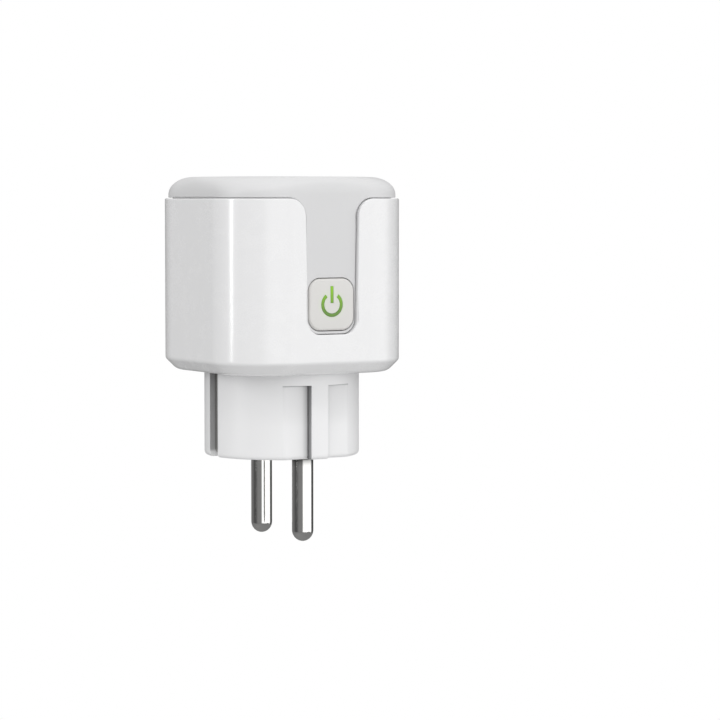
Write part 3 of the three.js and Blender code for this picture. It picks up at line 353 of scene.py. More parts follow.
def rounded_square(half, corner, inset=0.0, per_corner=14):
    """A rounded square's outline in a plane, drawn in by inset, as x and y columns."""
    angle = np.linspace(0, math.pi / 2, per_corner)
    flat, reach = half - corner, corner - inset
    x, y = flat + reach * np.cos(angle), flat + reach * np.sin(angle)
    turns = [(x, y), (-y, x), (-x, -y), (y, -x)]
    return np.concatenate([np.stack(pair, -1) for pair in turns])


def facing_front(outline, y, middle_z):
    """A flat outline stood upright, at a depth y, round a height."""
    return at(outline[:, 0], y, outline[:, 1] + middle_z)


def turned_rows(profile, middle, sides):
    """Rows of a turned shape: each [radius, z] pair is a circle round an upright axis."""
    angle = np.linspace(0, TAU, sides, endpoint=False)
    return [at(middle[0] + r * np.cos(angle), middle[1] + r * np.sin(angle), z) for r, z in profile]


def rounded_rectangle(width, height, corner, per_corner=4):
    """A section for a strip, wound once round."""
    angle = np.linspace(0, math.pi / 2, per_corner)
    x, y = width / 2 - corner, height / 2 - corner
    c, s = corner * np.cos(angle), corner * np.sin(angle)
    parts = [(x + c, y + s), (-x - s, y + c), (-x - c, -y - s), (x + s, -y - c)]
    return np.concatenate([np.stack(p, -1) for p in parts])


def swept(name, path, across, section):
    """A section carried along a path: its first measure runs along across, its second square to both."""
    path = np.asarray(path, float)
    along = np.gradient(path, axis=0)
    along /= np.linalg.norm(along, axis=1, keepdims=True)
    across = np.broadcast_to(np.asarray(across, float), path.shape)
    up = np.cross(along, across)
    up /= np.linalg.norm(up, axis=1, keepdims=True)
    points = path[:, None] + across[:, None] * section[None, :, :1] + up[:, None] * section[None, :, 1:]
    return capped_rows(name, list(points))


def smooth_line(corners, bends, per_bend=7):
    """A flat line through its corners.

    Each inner corner becomes a parabola that starts and ends a bend away from it.
    """
    points = [np.array(p, float) for p in corners]
    path = [points[0]]
    for before, here, after, bend in zip(points, points[1:], points[2:], bends):
        start = here + (before - here) / np.linalg.norm(before - here) * bend
        end = here + (after - here) / np.linalg.norm(after - here) * bend
        t = np.linspace(0, 1, per_bend)[:, None]
        path.extend((1 - t) ** 2 * start + 2 * t * (1 - t) * here + t**2 * end)
    path.append(points[-1])
    return np.array(path)


def bent_path(corners, bend):
    """A line in x and z through its corners, each of them bent alike."""
    path = smooth_line(corners, [bend] * (len(corners) - 2))
    return at(path[:, 0], 0.0, path[:, 1])


# ---------------------------------------------------------------- finishes


class Value:
    """A number that varies over a surface. Arithmetic on it adds Math nodes."""

    def __init__(self, tree, socket):
        self.tree = tree
        self.socket = socket

    def math(self, operation, *others):
        """A Math node on values and plain numbers; the first of others fills the first socket."""
        node = self.tree.nodes.new("ShaderNodeMath")
        node.operation = operation
        for slot, item in zip(node.inputs, others):
            if isinstance(item, Value):
                self.tree.links.new(item.socket, slot)
            else:
                slot.default_value = item
        return Value(self.tree, node.outputs[0])

    def __add__(self, other):
        return self.math("ADD", self, other)

    def __radd__(self, other):
        return self.math("ADD", other, self)

    def __sub__(self, other):
        return self.math("SUBTRACT", self, other)

    def __rsub__(self, other):
        return self.math("SUBTRACT", other, self)

    def __mul__(self, other):
        return self.math("MULTIPLY", self, other)

    def __rmul__(self, other):
        return self.math("MULTIPLY", other, self)

    def __pow__(self, other):
        return self.math("POWER", self, other)

    def clamp(self):
        """The value, held between 0 and 1."""
        return self.math("MINIMUM", self.math("MAXIMUM", self, 0.0), 1.0)


class Finish:
    """One material: a Principled shader, and the nodes that vary it over a piece."""

    def __init__(self, name, roughness, metallic=0.0, coat=0.0, specular=0.5):
        self.material = bpy.data.materials.new(name)
        self.material.use_nodes = True
        self.tree = self.material.node_tree
        self.shader = self.tree.nodes["Principled BSDF"]
        self.shader.inputs["Metallic"].default_value = metallic
        self.shader.inputs["Roughness"].default_value = roughness
        self.shader.inputs["Coat Weight"].default_value = coat
        self.shader.inputs["Coat Roughness"].default_value = 0.13
        self.shader.inputs["Specular IOR Level"].default_value = specular
        self.place = self.node("ShaderNodeTexCoord", {}, {}).outputs["Object"]

    def node(self, kind, settings, sockets):
        """A node of a kind, with its settings and what goes into its sockets."""
        made = self.tree.nodes.new(kind)
        for key, item in settings.items():
            setattr(made, key, item)
        for key, item in sockets.items():
            if isinstance(item, Value):
                item = item.socket
            if isinstance(item, bpy.types.NodeSocket):
                self.tree.links.new(item, made.inputs[key])
            else:
                made.inputs[key].default_value = item
        return made

    def noise(self, size, detail=2.0, stretch=(1, 1, 1)):
        """Soft noise whose features are about size millimetres across, drawn out along an axis by stretch."""
        scaled = self.node("ShaderNodeMapping", {}, {"Vector": self.place, "Scale": stretch}).outputs[0]
        sockets = {"Vector": scaled, "Scale": 1 / (size * MM), "Detail": detail}
        return Value(self.tree, self.node("ShaderNodeTexNoise", {}, sockets).outputs["Fac"])

    def axis(self, name):
        """One coordinate of the place, in millimetres."""
        split = self.node("ShaderNodeSeparateXYZ", {}, {"Vector": self.place})
        return Value(self.tree, split.outputs[name]) * (1 / MM)

    def blend(self, low, high, share):
        """A colour between two, by a share."""
        mix = self.node("ShaderNodeMix", {"data_type": "RGBA"}, {"Factor": share})
        for socket, item in ((mix.inputs[6], low), (mix.inputs[7], high)):
            if isinstance(item, bpy.types.NodeSocket):
                self.tree.links.new(item, socket)
            else:
                socket.default_value = (*item, 1)
        return mix.outputs[2]

    def feed(self, socket, item):
        """Links a value or a socket to one of the shader's sockets."""
        self.tree.links.new(item.socket if isinstance(item, Value) else item, self.shader.inputs[socket])

    def relief(self, height, depth):
        """Raises the surface by a height pattern, depth millimetres deep."""
        bump = self.node("ShaderNodeBump", {}, {"Height": height, "Strength": 1.0, "Distance": depth * MM})
        self.feed("Normal", bump.outputs[0])


def tone(colour, share):
    """A colour made darker or lighter."""
    return tuple(min(1.0, c * share) for c in colour)


def moulded(name, colour, roughness, grain=0.16, depth=0.0012, coat=0.0):
    """Moulded plastic: a fine even grain, slow changes of gloss, and a trace of flow in the colour."""
    finish = Finish(name, roughness, coat=coat)
    slow = finish.noise(9.0, 3.0)
    fine = finish.noise(grain, 2.0)
    finish.feed("Base Color", finish.blend(tone(colour, 0.975), tone(colour, 1.01), slow))
    finish.feed("Roughness", (roughness + (slow - 0.5) * 0.07 + (fine - 0.5) * 0.06).clamp())
    finish.relief(fine + slow * 2.0, depth)
    return finish


def plated(name, colour, roughness, stretch=(1, 1, 0.06)):
    """Plated metal: hairlines along the part, and small marks where hands and contacts touch it."""
    finish = Finish(name, roughness, metallic=1.0)
    lines = finish.noise(0.12, 3.0, stretch)
    marks = finish.noise(3.5, 4.0)
    finish.feed("Base Color", finish.blend(tone(colour, 0.93), colour, marks))
    finish.feed("Roughness", (roughness + (marks - 0.5) * 0.08 + (lines - 0.5) * 0.07).clamp())
    finish.relief(lines, 0.0006)
    return finish


WHITE_COLOUR = (0.87, 0.87, 0.875)
GREY_COLOUR = (0.695, 0.695, 0.70)
BUTTON_COLOUR = (0.72, 0.71, 0.69)

white_plastic = moulded("white_shell_plastic", WHITE_COLOUR, 0.27, coat=0.5).material
grey_plastic = moulded("grey_cap_plastic", GREY_COLOUR, 0.42, grain=0.2, depth=0.0018).material
recess_colour = tone(GREY_COLOUR, 0.98)
recess_plastic = moulded("grey_socket_plastic", recess_colour, 0.48, grain=0.2, depth=0.002).material
nylon = moulded("natural_nylon", (0.72, 0.70, 0.64), 0.5, grain=0.3, depth=0.003).material
black_case = moulded("black_case", (0.03, 0.03, 0.032), 0.4, grain=0.25, depth=0.003).material
blue_case = moulded("blue_case", (0.05, 0.13, 0.36), 0.35, grain=0.3, depth=0.003).material
ferrite = moulded("pressed_ferrite", (0.045, 0.045, 0.048), 0.75, grain=0.12, depth=0.006).material
yellow_tape = moulded("yellow_tape", (0.70, 0.50, 0.10), 0.4, grain=0.5, depth=0.004).material
# The strip nickel's colour is darker than the pins' bright nickel: partly its duller plating, and partly painted
# shade for the strip where it lies in the collar's side slots.
nickel_strip = plated("strip_nickel", (0.56, 0.555, 0.54), 0.24, (0.06, 1, 1)).material
brass = plated("contact_brass", (0.78, 0.58, 0.26), 0.3).material
steel = plated("plated_steel", (0.62, 0.62, 0.63), 0.32).material
copper = plated("bare_copper", (0.78, 0.40, 0.24), 0.3, (1, 0.06, 1)).material


def pin_finish():
    """Bright nickel, dulled where the plug's face throws its shade on the pins' roots."""
    finish = plated("bright_nickel", (0.86, 0.855, 0.84), 0.13)
    root = ((finish.axis("Z") + 2.6) * (1 / 2.2)).clamp() ** 2.0
    plain = finish.shader.inputs["Base Color"].links[0].from_socket
    finish.feed("Base Color", finish.blend(plain, (0.05, 0.05, 0.05), root * 0.85))
    return finish.material


def collar_finish():
    """White plastic, with the shade that gathers beside the ribs, in the side slots and under the body."""
    finish = moulded("white_plug_plastic", tone(WHITE_COLOUR, 1.03), 0.36)
    across = finish.axis("X").math("ABSOLUTE", finish.axis("X")) - RIB_HALF
    deep = finish.axis("Y").math("ABSOLUTE", finish.axis("Y"))
    step_side = (1.3 - across.math("ABSOLUTE", across) * 8.0).clamp() * ((17.42 - deep) * 1.6).clamp()
    on_flat = ((15.75 - deep) * 8.0).clamp()
    below = FLAT_HEIGHT - finish.axis("Z")
    corner = (1.0 - across * 0.7).clamp() * on_flat * 0.3 + (1.0 - below * 3.0).clamp() * on_flat * 0.55
    low = ((below + 0.1) * 6.0).clamp() * ((deep - 15.3) * 8.0).clamp()
    slot = ((SIDE_SLOT_HALF + 0.25 - deep) * 8.0).clamp() * ((finish.axis("Z") - 1.0) * 1.5).clamp() * 0.5
    under = ((finish.axis("Z") - 7.5) * (1 / 11)).clamp() * (on_flat * low * 0.1 + 0.07)
    plain = finish.shader.inputs["Base Color"].links[0].from_socket
    shade = ((step_side * 0.8 + corner) * low + slot + under).clamp()
    finish.feed("Base Color", finish.blend(plain, (0.09, 0.09, 0.095), shade))
    return finish.material


def circuit_board():
    """Green board: tracks show as slightly raised paler bands under the lacquer."""
    finish = Finish("green_circuit_board", 0.38, coat=0.3)
    tracks = finish.node("ShaderNodeTexWave", {"wave_type": "BANDS", "bands_direction": "DIAGONAL"}, {
        "Vector": finish.place, "Scale": 420.0, "Distortion": 14.0, "Detail": 1.0})
    band = Value(finish.tree, tracks.outputs["Fac"]) ** 3.0
    finish.feed("Base Color", finish.blend((0.008, 0.09, 0.035), (0.03, 0.2, 0.08), band))
    finish.feed("Roughness", (0.42 - band * 0.12).clamp())
    finish.relief(band, 0.02)
    return finish.material


def button_finish():
    """The button's warm white face, with a faint green glow in the plastic round the lit sign."""
    finish = moulded("warm_button_plastic", BUTTON_COLOUR, 0.34, grain=0.14)
    across, up = finish.axis("X"), finish.axis("Z") - BUTTON_Z
    away = (across * across + up * up) ** 0.5
    ring = 1.0 - ((away - SIGN_RADIUS) * (away - SIGN_RADIUS)) * 0.55
    glow = ring.clamp() * 0.16
    plain = finish.shader.inputs["Base Color"].links[0].from_socket
    finish.feed("Base Color", finish.blend(plain, (0.62, 0.86, 0.45), glow))
    return finish.material


def lit_green():
    """The lit sign: brighter up its bar than round its ring, with slow unevenness from the lamp behind."""
    finish = Finish("lit_green_sign", 0.25)
    up = finish.axis("Z") - BUTTON_Z
    bright = (0.25 + up * 0.16 + (finish.noise(1.2, 2.0) - 0.5) * 0.3).clamp()
    finish.feed("Base Color", finish.blend((0.09, 0.2, 0.03), (0.17, 0.38, 0.015), bright))
    finish.feed("Emission Color", finish.blend((0.08, 0.16, 0.01), (0.24, 0.5, 0.01), bright))
    finish.shader.inputs["Emission Strength"].default_value = 0.45
    return finish.material


nickel = pin_finish()
collar_plastic = collar_finish()
board_green = circuit_board()
button_plastic = button_finish()
sign_green = lit_green()


# ---------------------------------------------------------------- shell and housing


def white_shell():
    """A cup in one closed band: underside, outer wall, rolled cut edge, inner wall, floor and plug hole.

    Each row is one closed line round the body. Rows fan out from a level line to the cut edge's own outline.
    """
    hole = COLLAR_RADIUS + GAP
    level_inset = UNDERSIDE_CHAMFER + 1.2
    level = body_line(BELOW, level_inset, UNDERSIDE_Z)
    foot = [(level_inset, 0), (UNDERSIDE_CHAMFER, 0), (0, UNDERSIDE_CHAMFER), (0, FAN_Z - UNDERSIDE_Z)]
    rows = [circle_like(level, hole, UNDERSIDE_Z + 0.25), circle_like(level, hole + 0.25, UNDERSIDE_Z)]
    rows += [circle_like(level, hole + 0.25, UNDERSIDE_Z) * (1 - t) + level * t for t in (0.3, 0.8)]
    rows += [body_line(BELOW, inset, UNDERSIDE_Z + rise)
             for inset, rise in smooth_line(foot, (1.15, 0.5))]
    rows += fan(BELOW, FAN_Z, -SHELL_EDGE, 0, 14)
    rows.append(edge_line(-SHELL_EDGE - 0.06, 0))
    for a in quarter_turn(7):
        rows.append(edge_line(SHELL_EDGE * (math.sin(a) - 1), SHELL_EDGE * (1 - math.cos(a))))
    rows.append(edge_line(0, SHELL_EDGE + 0.1))
    rows.append(edge_line(0, SHELL_WALL - 0.1))
    rows.append(edge_line(-0.1, SHELL_WALL))
    rows += fan(BELOW, FAN_Z, -0.1, SHELL_WALL, 14)[::-1]
    rows.append(body_line(BELOW, SHELL_WALL, UNDERSIDE_Z + SHELL_FLOOR))
    rows.append(circle_like(level, hole + 0.3, UNDERSIDE_Z + SHELL_FLOOR))
    rows.append(circle_like(level, hole, UNDERSIDE_Z + SHELL_FLOOR - 0.3))
    return ring_of_rows("white_shell", rows)


def button_opening():
    """The cutter for the button's opening, wider at the surface so that the edge is rounded."""
    surface = -(HALF - STRIP_INSET)
    half, corner, lip = BUTTON_HALF + 0.16, BUTTON_CORNER + 0.16, 0.14
    rows = [facing_front(rounded_square(half, corner, -lip * 1.3), surface - 1, BUTTON_Z)]
    for a in quarter_turn(5):
        rows.append(facing_front(rounded_square(half, corner, -lip * (1 - math.sin(a))),
                                 surface + lip * (1 - math.cos(a)), BUTTON_Z))
    rows.append(facing_front(rounded_square(half, corner), surface + 4, BUTTON_Z))
    return capped_rows("opening", rows)


def vent_drill(x, z):
    """The cutter for one vent, a small round hole with a softened mouth."""
    surface = HALF - STRIP_INSET
    angle = np.linspace(0, TAU, 24, endpoint=False)
    mouth, taper = VENT_RADIUS + 0.15, VENT_RADIUS - 0.03
    levels = ((mouth + 0.02, surface + 1), (mouth, surface),
              (VENT_RADIUS, surface - 0.12), (taper, surface - 2.2))
    rows = [at(x + r * np.cos(angle), y, z + r * np.sin(angle)) for r, y in levels]
    return capped_rows("drill", rows)


def grey_housing():
    """Cap, strips, sleeve and socket wall in one closed band, with the button's opening and the vents cut in.

    The cap's rows blend from the rounded square to the circle of its rim by one less the cosine of an angle,
    and rise by its sine.
    """
    side = STRIP_GAP + STRIP_EDGE
    rows = [body_line(BELOW, SLEEVE_INSET, housing_low[2])]
    rows.append(body_line(BELOW, SLEEVE_INSET, FAN_Z))
    rows += fan(BELOW, FAN_Z, STRIP_GAP, SLEEVE_INSET, 10)
    rows.append(edge_line(STRIP_GAP, SLEEVE_INSET))
    rows.append(edge_line(STRIP_GAP, STRIP_INSET + STRIP_EDGE + 0.05))
    for a in quarter_turn(6):
        rows.append(edge_line(side - STRIP_EDGE * math.cos(a), STRIP_INSET + STRIP_EDGE * (1 - math.sin(a))))
    rows.append(edge_line(side + 0.05, STRIP_INSET))
    band_z = SEAM_Z + 0.6
    rows += fan(ABOVE, band_z, side, STRIP_INSET, 12)[::-1]
    rows.append(body_line(ABOVE, STRIP_INSET, band_z))
    for a in quarter_turn(26):
        z = TOP_Z - CAP_DOME * (1 - math.sin(a))
        square = body_line(ABOVE, STRIP_INSET, z)
        rim = circle_like(square, RECESS_RADIUS + RIM_WIDTH, z)
        rows.append(square * math.cos(a) + rim * (1 - math.cos(a)))
    top = rows[-1]
    lip = 0.3
    for a in quarter_turn(6):
        mouth = RECESS_RADIUS + lip * (1 - math.sin(a))
        rows.append(circle_like(top, mouth, TOP_Z - lip * (1 - math.cos(a))))
    ledge_foot = LEDGE_Z - LEDGE_DEPTH
    rows += [circle_like(top, RECESS_RADIUS, z) for z in (TOP_Z - 1, RECESS_FLOOR_Z + 0.5, LEDGE_Z - GAP)]
    rows += [circle_like(top, RECESS_RADIUS - LEDGE_INSET, z) for z in (LEDGE_Z - GAP, ledge_foot)]
    rows += [body_line(ABOVE, SLEEVE_INSET + SLEEVE_WALL, z) for z in (ledge_foot, housing_low[2])]
    middle = VENT_COUNT // 2
    vents = []
    for i in range(VENT_COUNT):
        bow = VENT_BOW * (1 - ((i - middle) / middle) ** 2)
        vents.append(vent_drill((i - middle) * VENT_PITCH, BUTTON_Z + bow))
    return carve(ring_of_rows("grey_housing", rows), [button_opening(), *vents])


def guide_pad(name, x_sign, y_sign):
    """One guide in the socket's wall: a plain upright key with rounded corners."""
    x0, x1 = GUIDE_X
    y0, y1 = GUIDE_INNER, RECESS_RADIUS - 0.05
    middle = ((x0 + x1) / 2 * x_sign, (y0 + y1) / 2 * y_sign)
    outline = rounded_rectangle(x1 - x0, y1 - y0, 0.35)
    reach = math.sqrt(RECESS_RADIUS**2 - x1**2)
    xy = outline + middle
    too_far = np.hypot(xy[:, 0], xy[:, 1]) > RECESS_RADIUS + 0.4
    length = np.hypot(xy[too_far, 0], xy[too_far, 1])
    xy[too_far] *= ((RECESS_RADIUS + 0.4) / length)[:, None]
    xy[:, 1] = np.where(np.abs(xy[:, 1]) < min(reach, y0), y0 * y_sign, xy[:, 1])
    foot, head = RECESS_FLOOR_Z + 0.05, TOP_Z - 1.2
    centre = xy.mean(0)
    levels = [(1.0, foot), (1.0, head - 0.5), (0.985, head - 0.2), (0.94, head)]
    return capped_rows(name, [at(*(centre + (xy - centre) * k).T, z) for k, z in levels])


def socket_floor():
    """The round floor with its two funnelled pin holes and the slots for the earth arms."""
    foot, head, edge = floor_low[2] + 2.9, RECESS_FLOOR_Z, 0.25
    radius = floor_high[1]
    profile = [(radius, foot)]
    profile += [(radius - edge * (1 - math.cos(a)), head - edge * (1 - math.sin(a))) for a in quarter_turn(4)]
    disc = capped_rows("socket_floor", turned_rows(profile, (0, 0), 144))
    cutters = []
    for y in (-PIN_Y, PIN_Y):
        funnel = [(PIN_HOLE_RADIUS, foot - 1), (PIN_HOLE_RADIUS, head - FUNNEL)]
        funnel += [(PIN_HOLE_RADIUS + FUNNEL * (1 - math.cos(a)), head - FUNNEL * (1 - math.sin(a)))
                   for a in quarter_turn(7)]
        funnel.append((3.85, head + 1))
        cutters.append(capped_rows("funnel", turned_rows(funnel, (0, y), 64)))
    for sign in (-1, 1):
        outline = rounded_rectangle(1.9, 6.6, 0.3) + (sign * EARTH_ARM_X, 0)
        cutters.append(capped_rows("slot", [at(*outline.T, foot - 1), at(*outline.T, head + 1)]))
    return carve(disc, cutters)


place(white_shell(), white_plastic, slot="white_plastic", stands_for=["outer_shell"])
place(grey_housing(), grey_plastic, slot="grey_plastic", stands_for=["socket_housing"])
place(socket_floor(), recess_plastic, slot="grey_plastic", stands_for=["recess_floor"])
for number, (x_sign, y_sign) in enumerate([(1, 1), (-1, 1), (-1, -1), (1, -1)], 1):
    pad = guide_pad(f"socket_guide_{number}", x_sign, y_sign)
    place(soften(pad, 0.15), recess_plastic, slot="grey_plastic")


# ---------------------------------------------------------------- plug collar and face


def collar_outline(flats):
    """A quarter of the collar's section, from the side slot to the rib, repeated by mirror round the plug.

    With flats, the two guide flats are cut to the chord at FLAT_Y, on both sides of each rib.
    """
    slot_edge_x = math.sqrt(COLLAR_RADIUS**2 - SIDE_SLOT_HALF**2)
    chord = math.acos(FLAT_Y / COLLAR_RADIUS)
    rib = math.asin(RIB_HALF / COLLAR_RADIUS)
    start = math.asin(SIDE_SLOT_HALF / COLLAR_RADIUS)
    slot_floor = [(SIDE_SLOT_X, y) for y in (0.0, SIDE_SLOT_HALF * 0.6, SIDE_SLOT_HALF)]
    slot_side = [(x, SIDE_SLOT_HALF) for x in np.linspace(SIDE_SLOT_X, slot_edge_x, 5)[1:-1]]
    round_part = [(COLLAR_RADIUS * math.cos(a), COLLAR_RADIUS * math.sin(a))
                  for a in np.linspace(start, math.pi / 2 - chord, 44)]
    if flats:
        chord_x = COLLAR_RADIUS * math.sin(chord)
        panel = [(x, FLAT_Y) for x in np.linspace(chord_x, RIB_HALF, 12)[1:]]
        rib_side = [(RIB_HALF, y) for y in np.linspace(FLAT_Y, COLLAR_RADIUS * math.cos(rib), 5)[1:]]
    else:
        angles = np.linspace(chord, rib, 16)[1:]
        panel = [(COLLAR_RADIUS * math.sin(a), COLLAR_RADIUS * math.cos(a)) for a in angles[:11]]
        rib_side = [(COLLAR_RADIUS * math.sin(a), COLLAR_RADIUS * math.cos(a)) for a in angles[11:]]
    rib_top = [(COLLAR_RADIUS * math.sin(a), COLLAR_RADIUS * math.cos(a)) for a in np.linspace(rib, 0, 6)[1:]]
    quarter = np.array(slot_floor + slot_side + round_part + panel + rib_side + rib_top)
    second = quarter[-2::-1] * (-1, 1)
    half = np.concatenate([quarter, second])
    return np.concatenate([half[:-1], -half[:-1]])


def drawn_in(outline, amount):
    """An outline moved towards the middle by an amount."""
    length = np.hypot(outline[:, 0], outline[:, 1])[:, None]
    return outline * (1 - amount / length)


def face_outline(outline, radius, half_y):
    """The face's outline at the same angles as another outline: a circle cut by two flats."""
    angle = np.arctan2(outline[:, 1], outline[:, 0])
    reach = np.minimum(radius, half_y / np.maximum(np.abs(np.sin(angle)), 1e-6))
    return np.stack([reach * np.cos(angle), reach * np.sin(angle)], -1)


def plug_collar():
    """The collar: a rounded foot, guide flats with a rib between each pair, a round neck and a hollow inside."""
    cut, whole = collar_outline(True), collar_outline(False)
    rim = face_outline(cut, FACE_RADIUS, FACE_HALF_Y + GAP)
    angle = np.arctan2(cut[:, 1], cut[:, 0])
    inner = np.stack([COLLAR_INNER * np.cos(angle), COLLAR_INNER * np.sin(angle)], -1)
    slotted = np.hypot(cut[:, 0], cut[:, 1]) < FACE_RADIUS
    rim[slotted] = cut[slotted] * 0.985
    rows = [at(*inner.T, 4.0), at(*(rim * 0.93).T, 3.6), at(*rim.T, 3.2), at(*rim.T, 0.15)]
    for a in quarter_turn(8):
        rows.append(at(*drawn_in(cut, COLLAR_ROUNDING * (1 - math.sin(a)) * 0.75).T,
                       COLLAR_ROUNDING * (1 - math.cos(a))))
    rows += [at(*cut.T, z) for z in (1.4, 8.0, FLAT_HEIGHT - 0.6, FLAT_HEIGHT)]
    rows += [at(*whole.T, z) for z in (FLAT_HEIGHT + 0.03, FLAT_HEIGHT + 0.5, collar_high[2])]
    rows.append(at(*inner.T, collar_high[2]))
    return ring_of_rows("plug_collar_wall", rows)


def plug_face():
    """The flat face: a plate with a softened rim, cut for the earth strip, its tube and legs, and the pins."""
    angle = np.linspace(0, TAU, 200, endpoint=False)
    circle = np.stack([np.cos(angle), np.sin(angle)], -1)
    shape = face_outline(circle, FACE_RADIUS - 0.14, FACE_HALF_Y + GAP - 0.14)
    rows = [at(*drawn_in(shape, 0.3 * (1 - math.sin(a))).T, 0.12 + 0.3 * (1 - math.cos(a)))
            for a in quarter_turn(4)]
    rows.append(at(*shape.T, FACE_THICKNESS))
    plate = capped_rows("plug_face_plate", rows)
    channel = rounded_rectangle(60, 5.9, 0.3)
    window = rounded_rectangle(6.5, 8.3, 0.5) + (EARTH_HOLE_X, 0)
    cutters = [capped_rows("channel", [at(*channel.T, -1), at(*channel.T, 1.6)]),
               capped_rows("window", [at(*window.T, -1), at(*window.T, 1.75)]),
               capped_rows("tube_hole", turned_rows([(3.0, 0), (3.0, 5)], (EARTH_HOLE_X, 0), 48))]
    for sign in (-1, 1):
        leg = rounded_rectangle(8.0, 2 * LEG_POCKET_HALF, 0.3) + (sign * (LEG_POCKET_X + 4.0), 0)
        cutters.append(capped_rows("leg_pocket", [at(*leg.T, -1), at(*leg.T, 5)]))
    for y in (-PIN_Y, PIN_Y):
        seat = [(PIN_RADIUS + wider, z) for wider, z in ((0.45, -1), (0.4, 0.12), (0.08, 0.5), (0.08, 5))]
        cutters.append(capped_rows("seat", turned_rows(seat, (0, y), 64)))
    return carve(plate, cutters)


def pin_surface(name, y):
    """A round pin with a domed tip, a faint parting step near its root, and a shoulder inside the plug."""
    length = -pin_low[2]
    tip = [(PIN_RADIUS * math.sin(a), -length + PIN_RADIUS * 1.05 * (1 - math.cos(a)))
           for a in quarter_turn(18)[1:]]
    profile = [(0.03, -length)] + tip
    profile += [(PIN_RADIUS, -4.0), (PIN_RADIUS, -0.5), (PIN_RADIUS - 0.05, -0.42), (PIN_RADIUS - 0.3, -0.36)]
    profile += [(PIN_RADIUS - 0.3, 0.3), (PIN_RADIUS, 0.6), (PIN_RADIUS, 8.0)]
    profile += [(3.3, 8.35), (3.3, 9.6), (1.6, 9.8), (1.6, pin_high[2])]
    return capped_rows(name, turned_rows(profile, (0, y), 96))


def earth_strip():
    """A bent nickel strip: across the face and up both side slots, with an eye round the earth hole."""
    x = strip_high[0] - EARTH_METAL / 2
    z = strip_low[2] + EARTH_METAL / 2
    line = [(-x, strip_high[2]), (-x, z), (x, z), (x, strip_high[2] - 5)]
    section = rounded_rectangle(EARTH_WIDTH, EARTH_METAL, 0.12)
    strip = swept("earth_strip_metal", bent_path(line, 1.1), (0, 1, 0), section)
    hole = capped_rows("hole", turned_rows([(3.0, -2), (3.0, 4)], (EARTH_HOLE_X, 0), 48))
    return carve(strip, [hole])


def earth_eye():
    """The widened eye of the strip round the earth hole."""
    z0, z1 = strip_low[2] + 0.05, strip_low[2] + 0.75
    outline = rounded_rectangle(6.0, 7.9, 0.6, 6) + (EARTH_HOLE_X, 0)
    plate = capped_rows("earth_eye_metal", [at(*outline.T, z0), at(*outline.T, z1)])
    hole = capped_rows("hole", turned_rows([(2.95, -2), (2.95, 4)], (EARTH_HOLE_X, 0), 48))
    return carve(plate, [hole])


def earth_tube():
    """The thin round contact for an outlet's earth pin, rolled in a little at its mouth."""
    low, high = corners_mm("earth_pin_tube")
    outer, inner = EARTH_TUBE_RADIUS, EARTH_TUBE_RADIUS - EARTH_TUBE_WALL
    profile = [(outer, low[2] + 0.3), (outer, high[2]), (inner, high[2]), (inner, low[2] + 0.3)]
    profile += [(inner + 0.06, low[2] + 0.08), (inner + 0.2, low[2]), (outer - 0.06, low[2] + 0.08)]
    return ring_of_rows("earth_tube_metal", turned_rows(profile, (EARTH_HOLE_X, 0), 64))


def earth_arm(name, sign):
    """One springy earth contact: up the socket wall, in towards the plug, and out again at its tip."""
    low, high = corners_mm("earth_arm_right")
    x, z = EARTH_ARM_X, low[2]
    line = [(x, z), (x - 0.2, z + 2.7), (x - 1.5, z + 8.6), (x - 1.6, z + 10.2), (x - 1.15, high[2] - 0.1)]
    path = bent_path([(sign * a, b) for a, b in line], 0.9)
    return swept(name, path, (0, 1, 0), rounded_rectangle(*EARTH_ARM_SECTION, 0.15))


place(soften(plug_collar(), 0.14), collar_plastic, slot="white_plastic", stands_for=["plug_collar"], crease=30)
place(soften(plug_face(), 0.08), collar_plastic, slot="white_plastic", stands_for=["plug_face"], crease=30)
place(pin_surface("line_pin_metal", -PIN_Y), nickel, slot="nickel", stands_for=["line_pin"])
place(pin_surface("neutral_pin_metal", PIN_Y), nickel, slot="nickel", stands_for=["neutral_pin"])
place(earth_strip(), nickel_strip, slot="nickel", stands_for=["plug_earth_strip"])
place(soften(earth_eye(), 0.08), nickel_strip, slot="nickel")
place(earth_tube(), nickel_strip, slot="nickel", stands_for=["earth_pin_tube"])
place(earth_arm("earth_arm_right_metal", 1), nickel_strip, "right_earth_arm", "nickel", ["earth_arm_right"])
place(earth_arm("earth_arm_left_metal", -1), nickel_strip, "left_earth_arm", "nickel", ["earth_arm_left"])


# ---------------------------------------------------------------- power button


def button_cap():
    """The button: a softly crowned rounded square with rolled edges, and a flange that keeps it in."""
    rows = []
    for share in np.linspace(0.02, 1, 26):
        outline = rounded_square(BUTTON_HALF, BUTTON_CORNER, BUTTON_ROUNDING) * share
        rows.append(facing_front(outline, BUTTON_FACE_Y + BUTTON_CROWN * share**3, BUTTON_Z))
    start = BUTTON_FACE_Y + BUTTON_CROWN
    for a in quarter_turn(9)[1:]:
        inset = BUTTON_ROUNDING * (1 - math.sin(a))
        outline = rounded_square(BUTTON_HALF, BUTTON_CORNER, inset)
        rows.append(facing_front(outline, start + BUTTON_ROUNDING * (1 - math.cos(a)), BUTTON_Z))
    side = rounded_square(BUTTON_HALF, BUTTON_CORNER)
    flange = rounded_square(6.4, BUTTON_CORNER)
    flange_y = button_high[1] - 0.9
    rows += [facing_front(side, flange_y, BUTTON_Z), facing_front(flange, flange_y + 0.05, BUTTON_Z)]
    rows.append(facing_front(flange, button_high[1], BUTTON_Z))
    cap = capped_rows("button_cap", rows)
    return carve(cap, sign_strokes("groove", 0.05, -0.3, 0.45))


